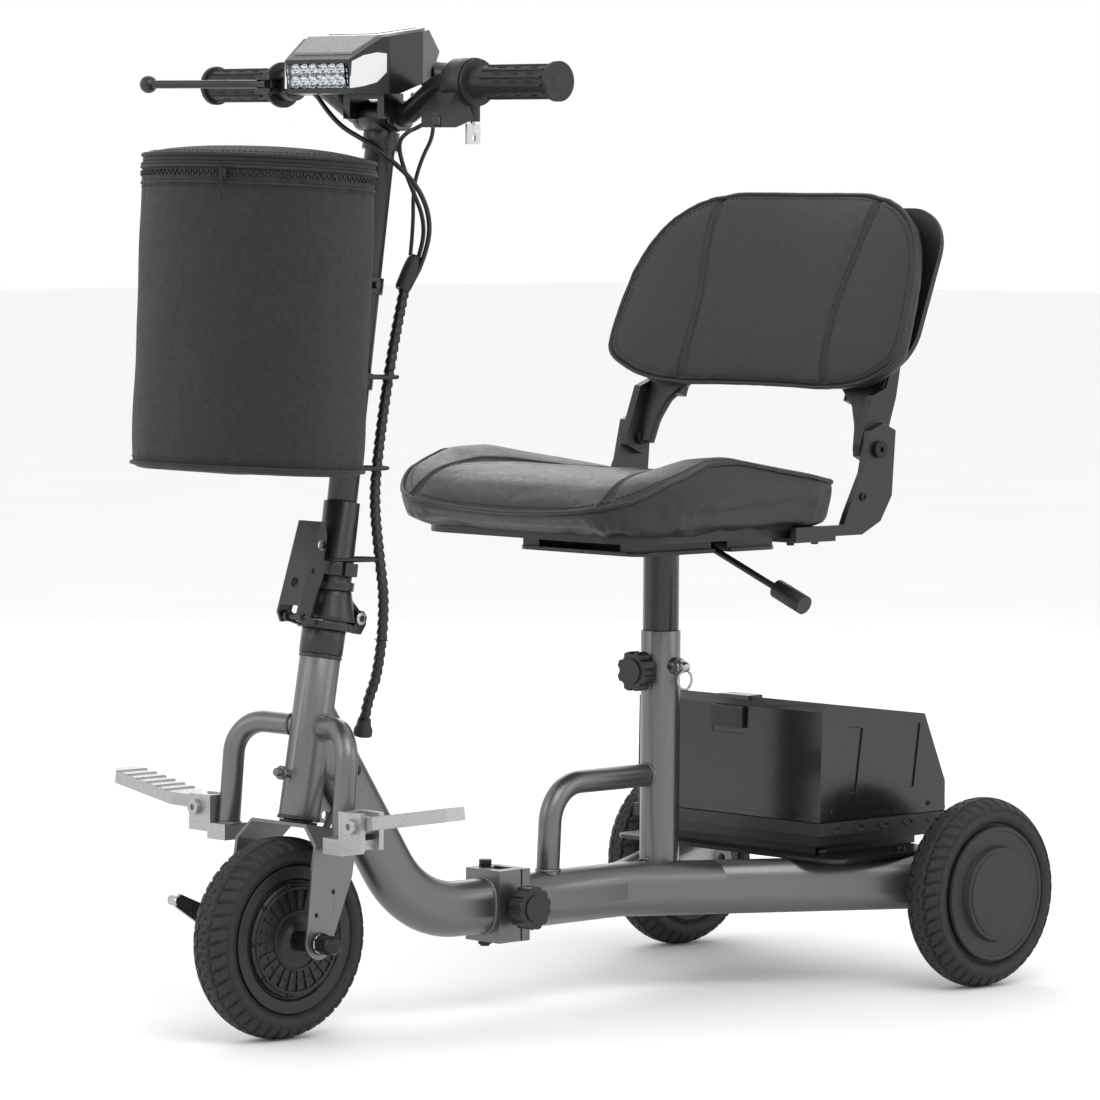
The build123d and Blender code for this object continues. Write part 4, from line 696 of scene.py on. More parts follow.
def soft_shell(name, rings, material, voxel):
    """A closed soft form, remeshed evenly."""
    verts, faces = skin(rings)
    piece = add_piece(name, verts, faces, material, sharp=180)
    settled(piece, "REMESH", mode="VOXEL", voxel_size=voxel)
    settled(piece, "SMOOTH", factor=0.6, iterations=3)
    return piece


SEAT_LOW, SEAT_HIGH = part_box("seat_cushion")
SEAT_HALF = (SEAT_HIGH.x - SEAT_LOW.x) / 2 * 1000
SEAT_FRONT = (SEAT_LOW.y - AXLE.y) * 1000
SEAT_REAR = (SEAT_HIGH.y - AXLE.y) * 1000
SEAT_BASE = SEAT_LOW.z * 1000
SEAT_SIDE = [(0, 527), (32, 538), (74, 552), (103, 562), (146, 563), (204, 553), (302, 537), (310, 535)]
SEAT_MIDDLE = [(0, 512), (10, 525), (28, 541), (52, 548), (95, 545), (145, 538), (225, 534), (285, 536), (310, 536)]
SEAT_SEAM = [(140, 2), (137, 40), (131, 90), (126, 150), (124, 220), (123, 300)]


def seat_inside(x, y, margin=0.0):
    """True inside the seat's plan, a rectangle with larger corners at the front."""
    half, front, rear = SEAT_HALF - margin, SEAT_FRONT + margin, SEAT_REAR - margin
    corner = 78 if y < (front + rear) / 2 else 40
    dx = abs(x) - (half - corner)
    dy = (front + corner - y) if y < (front + rear) / 2 else (y - (rear - corner))
    if dx > 0 and dy > 0:
        return dx * dx + dy * dy <= corner * corner
    return abs(x) <= half and front <= y <= rear


def seat_edge(turn):
    """The plan's edge in the direction of turn from the seat's middle."""
    middle_y = (SEAT_FRONT + SEAT_REAR) / 2
    low, high = 50.0, 300.0
    for _ in range(24):
        mid = (low + high) / 2
        if seat_inside(mid * math.cos(turn), middle_y + mid * math.sin(turn)):
            low = mid
        else:
            high = mid
    return low * math.cos(turn), middle_y + low * math.sin(turn)


def seat_piping_height(x, y):
    front = 509 + 18 * (abs(x) / SEAT_HALF) ** 2
    side = through(y - SEAT_FRONT, SEAT_SIDE)
    return front + (side - front) * smooth_step(0, 55, y - SEAT_FRONT)


def seat_top_height(x, y, share):
    """Height of the seat's top, share of the way out from its middle."""
    out = smooth_step(0.42, 0.94, abs(x) / SEAT_HALF)
    behind = y - SEAT_FRONT
    full = through(behind, SEAT_MIDDLE) * (1 - out) + (through(behind, SEAT_SIDE) + 8) * out
    edge = seat_piping_height(x, y)
    fall = share ** 9
    return full * (1 - fall) + edge * fall


def build_seat_cushion():
    """The padded seat: dished top, rolled front, raised sides and a boxed skirt."""
    turns = [2 * math.pi * k / 120 for k in range(120)]
    edge = [seat_edge(t) for t in turns]
    middle_y = (SEAT_FRONT + SEAT_REAR) / 2
    rings = []
    for share in (0.02, 0.15, 0.3, 0.45, 0.58, 0.7, 0.8, 0.87, 0.92, 0.955, 0.98, 0.995):
        ring = []
        for x, y in edge:
            px, py = x * share, middle_y + (y - middle_y) * share
            ring.append(at(px, py, seat_top_height(px, py, share)))
        rings.append(ring)
    for share, drop in ((1.0, 0.03), (1.004, 0.3), (1.003, 0.6), (0.99, 0.9), (0.97, 1.0), (0.7, 1.0), (0.3, 1.0), (0.02, 1.0)):
        ring = []
        for x, y in edge:
            high = seat_piping_height(x, y) - 1
            ring.append(at(x * share, middle_y + (y - middle_y) * share, high + (SEAT_BASE - high) * drop))
        rings.append(ring)
    cushion = soft_shell("seat_padding", rings, "vinyl", 0.005)
    piped = [at(x, y, seat_piping_height(x, y)) for x, y in edge]
    seams = [[at(side * x, SEAT_FRONT + y, seat_top_height(side * x, SEAT_FRONT + y, 0.9)) for x, y in SEAT_SEAM]
             for side in (-1, 1)]
    seams = [smooth_path(seam, 0.004) for seam in seams]
    inflate(cushion, 4.0, 0.006, [*smooth_path(piped, 0.004, True), *snapped(seams[0] + seams[1], cushion, 0)])
    settled(cushion, "SUBSURF", levels=1)
    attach(cushion, "seat")
    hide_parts("seat_cushion")
    press_seams(cushion, [snapped(s, cushion, 0) for s in seams], 0.0022, 0.007)
    cord_line = snapped(smooth_path(piped, 0.006, True), cushion, sizes().piping * 0.5)
    add_piece("seat_piping", *tube(cord_line, sizes().piping, 8, True), "vinyl", "seat")
    sewn = []
    for seam in seams:
        for offset in (-0.0045, 0.0045):
            sewn.append(stitched(snapped([p + Vector((offset, 0, 0)) for p in seam], cushion, 0.0002)))
    inset = [at(x * 0.955, middle_y + (y - middle_y) * 0.955, seat_top_height(x * 0.955, middle_y + (y - middle_y) * 0.955, 0.955))
             for x, y in edge]
    sewn.append(stitched(snapped(inset, cushion, 0.0002), True))
    add_piece("seat_stitching", *gathered(sewn), "thread", "seat", slot="vinyl")


def press_seams(piece, lines, depth, width):
    """Sinks a soft piece's surface along its seams."""
    points = [p for line in lines for p in line]
    tree = BVHTree.FromPolygons(points, [(i, i, i) for i in range(len(points))])
    normals = [v.normal.copy() for v in piece.data.vertices]
    for v, normal in zip(piece.data.vertices, normals):
        near = tree.find_nearest(v.co, width)
        if near[0] is not None:
            v.co -= normal * depth * (1 - smooth_step(0.0, width, near[3]))
    piece.data.update()


BACK_EDGE = [(0, 103), (60, 103), (104, 100), (143, 89), (174, 68), (195, 38), (207, 2), (212, -38), (214, -72),
             (208, -90), (188, -101), (160, -110), (110, -114), (50, -112)]
BACK_SEAM = [(115, 99), (113, 50), (103, -10), (101, -60), (105, -112)]


def back_face(x, share=0.0):
    """Front face of the backrest, curved forwards at its sides."""
    return 1 - 21 * (x / 212) ** 2 + 10 * share ** 6


def build_backrest_pad():
    """The curved backrest pad with two seams and piping."""
    outline = BACK_EDGE + [(0, -111)] + [(-x, z) for x, z in reversed(BACK_EDGE[1:])]
    edge = smooth_path([Vector((x, 0, z)) for x, z in outline], 9, True)
    rings = []
    for share in (0.02, 0.2, 0.4, 0.6, 0.75, 0.86, 0.93, 0.97, 0.99):
        rings.append([local(BACK, p.x * share, back_face(p.x * share, share) - 5, p.z * share) for p in edge])
    for share, depth in ((1.0, 0.15), (1.004, 0.5), (1.0, 0.8), (0.985, 0.98), (0.8, 1.0), (0.4, 1.0), (0.02, 1.0)):
        ring = []
        for p in edge:
            front = back_face(p.x, 1) - 5
            rear = 19.4 - 13 * smooth_step(150, 214, abs(p.x * share))
            ring.append(local(BACK, p.x * share, front + (rear - front) * depth, p.z * share))
        rings.append(ring)
    pad = soft_shell("backrest_padding", rings, "vinyl", 0.005)
    piped = [local(BACK, p.x, back_face(p.x, 1) - 3.5, p.z) for p in edge]
    seams = [[local(BACK, side * x, back_face(x) - 5, z) for x, z in BACK_SEAM] for side in (-1, 1)]
    seams = [smooth_path(seam, 0.004) for seam in seams]
    inflate(pad, 4.0, 0.005, [*smooth_path(piped, 0.004, True), *snapped(seams[0] + seams[1], pad, 0)])
    settled(pad, "SUBSURF", levels=1)
    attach(pad, "backrest")
    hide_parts("backrest_pad")
    press_seams(pad, [snapped(s, pad, 0) for s in seams], 0.0022, 0.007)
    cord_line = snapped(smooth_path(piped, 0.006, True), pad, sizes().piping * 0.5)
    add_piece("backrest_piping", *tube(cord_line, sizes().piping, 8, True), "vinyl", "backrest")
    sewn = []
    for seam in seams:
        for offset in (-0.0045, 0.0045):
            sewn.append(stitched(snapped([p + Vector((offset, 0, 0)) for p in seam], pad, 0.0002)))
    inset = [local(BACK, p.x * 0.955, back_face(p.x, 1) - 6, p.z * 0.94) for p in edge]
    sewn.append(stitched(snapped(inset, pad, 0.0002), True))
    add_piece("backrest_stitching", *gathered(sewn), "thread", "backrest", slot="vinyl")


ARM_INNER = [(-62, 96), (-96, 100), (-112, 118), (-128, 136), (-150, 146), (-176, 150)]


def build_back_arms():
    """Moulded webs that widen each backrest arm up to the pad's lower edge."""
    for side, word in ((-1, "right"), (1, "left")):
        rows = []
        for k in range(25):
            z = -62 - 114 * k / 24
            inner = through(-z, [(-h, x) for h, x in ARM_INNER])
            bow = 4 * math.sin(math.pi * k / 24)
            front, rear = 22 - bow, 31 - bow
            section = ((inner, rear), (inner - 1.5, rear - 3), (inner - 1.5, front + 3), (inner, front), (inner + 6, front - 1.5),
                       (168, front - 1.5), (172.5, front), (173.5, front + 3), (173.5, rear - 3), (172.5, rear))
            rows.append([local(BACK, side * x, y, z) for x, y in section])
        add_piece(f"back_arm_{word}", *skin(rows), "black_plastic", "backrest", 40)


BAG_A, BAG_B, BAG_LOW, BAG_HIGH = 122, 110, -149, 146


def bag_ring(height, inset=0.0, ripple=0.0, count=144, seed=0.0):
    """Points round the bag at a height, pushed in and rippled."""
    points = []
    for k in range(count):
        turn = 2 * math.pi * k / count
        fold = noise.noise(Vector((math.cos(turn) * 2.6, math.sin(turn) * 2.6, height / 75 + seed)))
        gather = math.sin(turn * 34 + 3 * noise.noise(Vector((turn * 2, 0, 3))))
        out = -inset + 2.4 * fold + ripple * gather
        points.append(local(BAG, (BAG_A + out) * math.cos(turn), (BAG_B + out) * math.sin(turn), height))
    return points


def unroll(piece, place):
    """Lays the weave round a piece, in metres of cloth."""
    layer = piece.data.uv_layers.new(name="cloth")
    back = place.inverted()
    for face in piece.data.polygons:
        flat = abs((back.to_3x3() @ face.normal).z) > 0.7
        for index in face.loop_indices:
            p = back @ piece.data.vertices[piece.data.loops[index].vertex_index].co
            if flat:
                layer.data[index].uv = (p.x, p.y)
            else:
                centre = back @ face.center
                turn = math.atan2(p.y, p.x)
                turn += round((math.atan2(centre.y, centre.x) - turn) / (2 * math.pi)) * 2 * math.pi
                layer.data[index].uv = (turn * 0.116, p.z)


def build_bag():
    """The round fabric bag: soft walls, hem, piping and the zip round its rim."""
    rings = [bag_ring(BAG_LOW + 2, 112), bag_ring(BAG_LOW + 1, 60), bag_ring(BAG_LOW, 20), bag_ring(BAG_LOW + 1, 8),
             bag_ring(BAG_LOW + 4, 4)]
    heights = [BAG_LOW + 10 + (BAG_HIGH - BAG_LOW - 16) * k / 34 for k in range(35)]
    for h in heights:
        near_top = smooth_step(BAG_HIGH - 60, BAG_HIGH - 6, h)
        near_low = 1 - smooth_step(BAG_LOW + 6, BAG_LOW + 34, h)
        rings.append(bag_ring(h, 2.0 + 1.2 * near_low, 0.55 * near_top + 0.4 * near_low))
    rings += [bag_ring(BAG_HIGH - 2, 2.6, 0.2), bag_ring(BAG_HIGH, 3, 0.1)]
    rings += [bag_ring(BAG_HIGH, 6), bag_ring(BAG_HIGH - 40, 6.5), bag_ring(0, 6.5), bag_ring(BAG_LOW + 12, 8),
              bag_ring(BAG_LOW + 6, 20), bag_ring(BAG_LOW + 6, 108)]
    verts, faces = skin(rings)
    bag = add_piece("bag_body", verts, faces, "bag_fabric", sharp=180)
    settled(bag, "SUBSURF", levels=1)
    inflate(bag, 0.6, 0.003, bag_ring(BAG_HIGH - 1, 3) + bag_ring(BAG_LOW + 3, 4))
    unroll(bag, BAG)
    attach(bag, "bars")
    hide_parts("bag")
    trim = []
    for height, inset, radius in ((BAG_HIGH - 1.5, 1.6, 0.0018), (BAG_HIGH - 17, 1.4, 0.0012), (BAG_LOW + 6, 2.2, 0.0021)):
        trim.append(tube(bag_ring(height, inset), radius, 8, True))
    add_piece("bag_piping", *gathered(trim), "bag_fabric", "bars")
    sewn = [stitched(bag_ring(BAG_HIGH - 21, 1.6), True), stitched(bag_ring(BAG_LOW + 12, 2.0), True)]
    add_piece("bag_stitching", *gathered(sewn), "thread", "bars", slot="bag_fabric")
    teeth = []
    line = smooth_path(bag_ring(BAG_HIGH - 8, 1.2), 0.0032, True)
    for i, (a, b) in enumerate(zip(line, line[1:])):
        place = facing(a, (b - a))
        shift = 1.1 if i % 2 else -1.1
        teeth.append(box_between(place, -0.7, 0.7, -0.9, 1.1, shift - 1.4, shift + 1.4))
    add_piece("bag_zip", *gathered(teeth), "black_plastic", "bars")
    pull = local(BAG, 60, -97, BAG_HIGH - 8)
    tag = [box_between(facing(pull, (0.5, -0.85, 0)), -1, 3, -4, 4, -5, 5),
           tube([pull + Vector((0.002, -0.004, -0.004)), pull + Vector((0.003, -0.006, -0.014)),
                 pull + Vector((0.003, -0.005, -0.026))], 0.0012, 8)]
    add_piece("bag_zip_pull", *gathered(tag), "rust_free_nut", "bars", slot="steel")


def build_bag_lid():
    """The bag's lid: a flat soft disc with a rolled edge and a seam."""
    rings = [bag_ring(BAG_HIGH + 0.6, 112), bag_ring(BAG_HIGH + 0.6, 40), bag_ring(BAG_HIGH + 0.6, 6),
             bag_ring(BAG_HIGH + 2, 2.6), bag_ring(BAG_HIGH + 6, 2.2), bag_ring(BAG_HIGH + 9.5, 3.4),
             bag_ring(BAG_HIGH + 12.5, 7), bag_ring(BAG_HIGH + 15, 16), bag_ring(BAG_HIGH + 19.5, 40),
             bag_ring(BAG_HIGH + 22, 75), bag_ring(BAG_HIGH + 22.6, 106)]
    verts, faces = skin(rings)
    lid = add_piece("bag_cover", verts, faces, "bag_fabric", sharp=180)
    settled(lid, "SUBSURF", levels=1)
    unroll(lid, BAG)
    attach(lid, "bag_lid")
    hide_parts("bag_lid")
    trim = [tube(bag_ring(BAG_HIGH + 10, 2.6), 0.002, 8, True), tube(bag_ring(BAG_HIGH + 1.6, 1.8), 0.0013, 8, True)]
    add_piece("bag_cover_piping", *gathered(trim), "bag_fabric", "bag_lid")
    add_piece("bag_cover_stitching", *stitched(bag_ring(BAG_HIGH + 13.6, 9), True), "thread", "bag_lid", slot="bag_fabric")


# ---------------------------------------------------------------- cables
LOOM_LOW = [(0, 110, 296), (7, 108, 325), (22, 110, 355), (27, 110, 390)]
LOOM_HIGH = [(27, 110, 390), (32, 110, 425), (25, 108, 475), (17, 108, 530), (16, 116, 585), (18, 124, 640),
             (20, 134, 695), (25, 143, 745)]
BRAKE_CABLE = [(-92, 106, 940), (-66, 102, 932), (-44, 98, 914), (-22, 100, 896), (6, 104, 884),
               (30, 116, 866), (44, 138, 842), (47, 154, 812), (42, 158, 780), (33, 152, 755)]
SWITCH_CABLE = [(105.5, 100, 903), (86, 102, 896), (62, 110, 892), (40, 118, 882), (30, 132, 862),
                (30, 146, 836), (33, 160, 806), (30, 160, 776), (24, 152, 752)]
HORN_CABLE = [(24, 150, 930), (36, 166, 916), (36, 170, 890), (24, 164, 866), (16, 160, 836), (17, 160, 800),
              (17, 156, 770)]
MOTOR_CABLE = [(12, 88, 262), (24, 74, 258), (34, 56, 244), (38, 36, 224), (40, 22, 205)]


def build_bar_cables():
    """The brake, switch and horn cables that hang between the bar and the stem."""
    for name, route, radius, length in (("brake_outer", BRAKE_CABLE, 0.0025, 0.274), ("switch_lead", SWITCH_CABLE, 0.0022, 0.215),
                                        ("horn_lead", HORN_CABLE, 0.002, 0.173)):
        points = [at(*p) for p in route]
        cable = drawn_line(points, radius, name)
        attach(cable, "bars")
        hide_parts("bar_cables")
    collars = [turned([(0, 3.9), (0, 2.4), (11, 2.4), (11, 3.2), (9, 3.9)],
                      facing(at(-92, 106, 940), at(-66, 102, 932) - at(-92, 106, 940)), 20)]
    add_piece("cable_ferrule", *gathered(collars), "silver_trim", "bars", slot="steel")


def wrapped(points, radius, step=0.0009, sides=20):
    """A bundle of cables in overlapping spiral tape, as (verts, faces)."""
    line = smooth_path(points, step)
    rings, normal = [], None
    for i, p in enumerate(line):
        tangent = (line[min(i + 1, len(line) - 1)] - line[max(i - 1, 0)]).normalized()
        normal = tangent.orthogonal() if normal is None else (normal - tangent * normal.dot(tangent)).normalized()
        side = tangent.cross(normal)
        ring = []
        for k in range(sides):
            turn = 2 * math.pi * k / sides
            lap = (k / sides - i * step / sizes().wrap) % 1
            r = radius * (0.8 + 0.2 * smooth_step(0.0, 0.75, lap) * (1 - smooth_step(0.9, 1.0, lap)))
            ring.append(p + (normal * math.cos(turn) + side * math.sin(turn)) * r)
        rings.append(ring)
    return skin(rings)


def build_loom():
    """The wrapped cable bundle beside the stem."""
    low = add_piece("loom_low", *wrapped(line_of([at(*p) for p in LOOM_LOW]), 0.0056), "cable", slot="cable")
    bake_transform(low)
    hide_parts("loom_lower")
    high = add_piece("loom_high", *wrapped(line_of([at(*p) for p in LOOM_HIGH]), 0.0056), "cable", slot="cable")
    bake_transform(high)
    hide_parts("loom_upper")
    top = at(25, 143, 745)
    boot = turned([(-10, 5.4), (-10, 7.2), (-7, 8.0), (12, 9.0), (22, 8.6), (27, 6.4), (27, 1.2), (-10, 1.2)],
                  facing(top, at(27, 153, 764) - top), 32)
    add_piece("loom_boot", *boot, "rubber", "bars")
    foot = turned([(-3, 5.0), (-3, 9.5), (3, 9.5), (7, 7.4), (14, 6.6), (14, 5.0)],
                  facing(at(0, 110, 296), at(7, 108, 325) - at(0, 110, 296)), 32)
    add_piece("loom_foot", *foot, "rubber", "front")
    ties = []
    for h, spread_y in ((470, 1), (560, 1), (650, 1)):
        stem_y = 76 + (h - 490) * math.tan(math.radians(8))
        route = [at(x, y, h) for x, y in (
            (-19, stem_y), (-13, stem_y - 14), (0, stem_y - 19), (13, stem_y - 14), (22, stem_y + 4), (29, stem_y + 22 * spread_y),
            (24, stem_y + 34), (12, stem_y + 34), (-8, stem_y + 20))]
        ties.append(tube(smooth_path(route, 0.004, True), 0.0022, 8, True))
    add_piece("stem_ties", *gathered(ties), "cable", "stem")


def build_motor_cable():
    """The hub motor's lead, from a grommet in the main tube to the fork's crown."""
    line = line_of([at(*p) for p in MOTOR_CABLE])
    lead = add_piece("motor_lead", *tube(smooth_path(line, 0.004), 0.0035, 12), "cable", slot="cable")
    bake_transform(lead)
    grommet = turned([(-3, 3.6), (-3, 7), (2, 7), (3.5, 5.5), (3.5, 3.6)], facing(at(16, 84, 261), at(24, 74, 258) - at(12, 88, 262)), 28)
    add_piece("motor_grommet", *grommet, "rubber", "front")


# ---------------------------------------------------------------- lamp
LAMP_FRONT, LAMP_REAR = 42, 176
LAMP_TOP = [(46, 962), (80, 984), (150, 993), (176, 972)]
LAMP_WIDTH = [(42, 46), (88, 60), (136, 56), (178, 36)]


def lamp_plate(rows, inset, low, high):
    """A strip that follows the lamp's top, from low to high above it."""
    rings = []
    for y in rows:
        w = (through(y, LAMP_WIDTH) if inset >= 0 else 0) - inset if inset >= 0 else -inset
        z = through(y, LAMP_TOP)
        rings.append([at(-w, y, z + low), at(w, y, z + low), at(w, y, z + high), at(-w, y, z + high)])
    return skin(rings)


def build_lamp():
    """Silver cover, display, reflector, light rows and clear lens of the front lamp."""
    cover = lamp_plate([54, 80, 88, 112, 136, 150, 168], 7, -0.5, 2.2)
    add_piece("lamp_cover", *cover, "silver_trim", "bars", 25, slot="gloss_black")
    display = lamp_plate([92, 104, 136, 146], -34, 0, 2.9)
    add_piece("lamp_display", *display, "display", "bars", 25, slot="gloss_black")
    cells, lights = [], []
    for side in (-1, 1):
        for col in range(3):
            for row in range(2):
                x, z = side * (8 + 12.5 * col), 940.5 + 11.5 * row
                place = facing(at(x, 60.5, z), (0, -1, 0))
                cells.append(turned([(0, 0.8), (2, 2.2), (5, 3.9), (9, 5.2), (12, 5.8), (12, 6.2), (0, 2)], place, 20))
                lights.append(turned([(1, 0.01), (1, 1.7), (2.4, 1.7), (3.4, 1.1), (3.8, 0.01)], place, 14))
    back = box_between(Matrix.Translation(at(0, 0, 0)), -42, 42, 61.5, 62.6, 935, 957)
    add_piece("lamp_reflector", *gathered([*cells, back]), "reflector", "bars", slot="lens")
    add_piece("lamp_lights", *gathered(lights), "led", "bars", slot="lens")
    front = []
    for x in range(-42, 43, 6):
        bulge = 1.2 * math.cos(math.pi * x / 84)
        front.append([at(x, 46.6 - bulge, 935), at(x, 43.6 - bulge, 957), at(x, 46.2 - bulge, 957), at(x, 49.2 - bulge, 935)])
    glass = add_piece("lamp_glass", *skin(front), "lens", "bars", 40)
    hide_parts("lamp_lens")
    wings = []
    for side in (-1, 1):
        rows = []
        for y, low, high in ((48, 934, 960), (60, 936, 966), (74, 940, 969), (84, 950, 968)):
            w = through(y, LAMP_WIDTH) * side
            rows.append([at(w - side * 1.5, y, low), at(w + side * 1.6, y, low), at(w + side * 1.6, y, high), at(w - side * 1.5, y, high)])
        wings.append(skin(rows))
    add_piece("lamp_side_glass", *gathered(wings), "reflector", "bars", 30, slot="lens")
    grille = [tube(ring_points(facing(at(34, 182, 950), (0, 1, 0)), r, 40, 0.4), 0.0009, 6, True) for r in (4, 7.5, 11)]
    add_piece("horn_grille", *gathered(grille), "rust_free_nut", "bars", slot="gloss_black")


# ---------------------------------------------------------------- frame trim
def build_welds():
    """Weld beads where the tubes meet."""
    def beads(name, node, rings, radius, slot):
        parts = []
        for ring in rings:
            near = snapped(smooth_path(ring, 0.004, True), frame["nodes"][node], 0.0002)
            parts.append(weld_bead(near, radius))
        add_piece(name, *gathered(parts), slot, BODY_OF[node])

    arms = []
    for side in (-1, 1):
        turn = [2 * math.pi * k / 20 for k in range(20)]
        arms.append([at(side * 21.5, 41 + 12.5 * math.cos(t), 306 + 12.5 * math.sin(t)) for t in turn])
        arms.append([at(side * 84 + 11.6 * math.cos(t), 7 + 11.6 * math.sin(t), 206.4) for t in turn])
    beads("arm_welds", "front_frame", arms, 0.0016, "frame_paint")
    turn = [2 * math.pi * k / 36 for k in range(36)]
    spine = [[at(21.6 * math.sin(t), 530 + 21.6 * math.cos(t), 117 + math.sqrt(max(0, 400 - (21 * math.sin(t)) ** 2)))
              for t in turn]]
    plate = [[at(20.6 * math.cos(t), 318.3, 108 + 29 * math.sin(t)) for t in turn]]
    beads("spine_welds", "rear_frame", spine + plate, 0.0017, "frame_paint")
    front_plate = [[at(20.6 * math.cos(t), 274.6, 108 + 29 * math.sin(t)) for t in turn]]
    beads("plate_weld", "front_frame", front_plate, 0.0017, "frame_paint")
    brace = [[at(12.4 * math.cos(t), 367 + 12.4 * math.sin(t), 137) for t in turn],
             [at(12.4 * math.cos(t), 509, 225 + 12.4 * math.sin(t)) for t in turn]]
    beads("brace_welds", "brace_tube", brace, 0.0015, "frame_paint")


def build_bolts():
    """Cap screws and a washer on the frame, seat, battery case and steering."""
    steel, dark = [], []
    for side in (-1, 1):
        for y in (552, 588):
            steel.append(socket_bolt(at(side * 165, y, 475.8), (0, 0, -1), 4, 3.4))
        dark.append(socket_bolt(at(side * 184.2, 640, 520), (side, 0, 0), 4.2, 2.6))
        for z in (84, 132):
            dark.append(socket_bolt(at(side * 19 + 2, 317.8, z), (0, 1, 0), 3.2, 2.4))
    add_piece("seat_screws", *gathered(steel), "rust_free_nut", "seat", slot="steel")
    add_piece("bracket_screws", *gathered(dark[0::3]), "rust_free_nut", "seat", slot="steel")
    add_piece("plate_screws", *gathered(dark[1::3] + dark[2::3]), "rust_free_nut", "rear", slot="steel")
    case = []
    for side in (-1, 1):
        for y in (650, 800):
            case.append(socket_bolt(at(side * 135, y, 186), (side, 0, 0), 3, 1.4))
    add_piece("case_screws", *gathered(case), "rust_free_nut", "battery_box", slot="steel")
    latch = [socket_bolt(local(STEER, 15.2, 32, 321.4), (1, 0, 0), 6.4, 3), socket_bolt(local(STEER, -15.2, 32, 321.4), (-1, 0, 0), 6.4, 3)]
    add_piece("fold_bolts", *gathered(latch), "steel", "steering")
    axle = [turned([(0, 6), (0, 9.6), (1.4, 10.4), (2.6, 9.6), (2.6, 6)], Matrix.Translation(at(60.2, 0, 100)), 48)]
    add_piece("axle_washer", *gathered(axle), "steel", "steering")


def build_case_trim():
    """Seams, ribs and tray slots of the battery box."""
    strips = [box_between(Matrix.Translation(at(0, 0, 0)), side * 134.6, side * 135.8, 632.5, 826.5, 178.5, 181.5) for side in (-1, 1)]
    strips.append(box_between(Matrix.Translation(at(0, 0, 0)), -134, 134, 631.2, 632.4, 178.5, 181.5))
    strips.append(box_between(Matrix.Translation(at(0, 0, 0)), -134, 134, 826.6, 827.8, 178.5, 181.5))
    add_piece("case_rim", *gathered(strips), "gloss_black", "battery_box", 25)
    holes = []
    for side in (-1, 1):
        for k in range(5):
            y = 652 + 38 * k
            holes.append(tube(smooth_path([at(side * 138.2, y + 7 * math.cos(t), 168.5 + 3 * math.sin(t)) for t in
                                           [2 * math.pi * i / 10 for i in range(10)]], 0.002, True), 0.0009, 6, True))
    add_piece("tray_slots", *gathered(holes), "black_plastic", "rear")
    grips = [box_between(Matrix.Translation(at(0, 0, 0)), -18, 18, 628.6, 629.2, 270 + 5 * k, 272 + 5 * k) for k in range(4)]
    add_piece("latch_ribs", *gathered(grips), "black_plastic", "case_latch")


LEVER_ROUTE = [(-121, 91), (-134, 92), (-150, 86), (-175, 74), (-205, 62), (-232, 52), (-250, 46)]
LEVER_WIDE = [(-250, 4.6), (-232, 4.2), (-175, 5.2), (-140, 6.5), (-121, 7)]


def build_brake_lever():
    """A curved, rounded blade with a ball end, in place of the plain one."""
    route = smooth_path([at(x, y, BAR_Z) for x, y in LEVER_ROUTE], 0.004)
    rings = []
    for i, p in enumerate(route):
        ahead = (route[min(i + 1, len(route) - 1)] - route[max(i - 1, 0)]).normalized()
        side = Vector((0, 0, 1)).cross(ahead)
        wide = through(p.x * 1000, LEVER_WIDE) / 1000
        ring = []
        for k in range(20):
            turn = 2 * math.pi * k / 20
            c, t = math.cos(turn), math.sin(turn)
            flat = (abs(c) ** 3 + abs(t) ** 3) ** (-1 / 3)
            ring.append(p + side * wide * flat * c + Vector((0, 0, 0.0042 * flat * t)))
        rings.append(ring)
    ball = [(-9 * math.cos(math.pi * k / 12), max(0.01, 9 * math.sin(math.pi * k / 12))) for k in range(13)]
    tip = Matrix.Translation(at(-255, 45, BAR_Z))
    boss = [(-4.1, 3.05), (-4.1, 8.5), (4.1, 8.5), (4.1, 3.05)]
    pivot = Matrix.Translation(at(-128, 96, BAR_Z)) @ Matrix.Rotation(math.radians(90), 4, "Y")
    blade = add_piece("lever_blade", *gathered([skin(rings), turned(ball, tip, 32), turned(boss, pivot, 32)]),
                      "black_paint", "brake_lever")
    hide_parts("brake_lever")


def build_bar_trim():
    """End caps, collars and ribs on the grips and levers."""
    for word, side, body in (("left", 1, "throttle"), ("right", -1, "bars")):
        place = facing(at(side * 253.6, BAR_Y, BAR_Z), (side, 0, 0))
        cap = turned([(-0.2, 0.01), (-0.2, 9.5), (0.5, 9), (0.9, 7), (1.0, 0.01)], place, 40)
        add_piece(f"grip_cap_{word}", *cap, "rubber", body)
        bumps = []
        for k in range(24):
            turn = 2 * math.pi * k / 24
            for row in range(3):
                x = side * (176 + 22 * row)
                spot = at(x, BAR_Y, BAR_Z) + Vector((0, 16.1 * math.cos(turn), 16.1 * math.sin(turn))) / 1000
                end = spot + Vector((side * 0.012, 0, 0))
                bumps.append(tube([spot, spot.lerp(end, 0.2), spot.lerp(end, 0.8), end],
                                  lambda i: (0.0003, 0.0009, 0.0009, 0.0003)[i], 6))
        add_piece(f"grip_pattern_{word}", *gathered(bumps), "rubber", body)
    adjuster = [turned([(0, 2.6), (0, 6.2), (2, 6.8), (5, 6.8), (7, 6.2), (7, 2.6)], facing(at(-92.5, 106, 940), (1, 0, 0)), 24)]
    add_piece("brake_adjuster", *gathered(adjuster), "silver_trim", "bars", slot="steel")


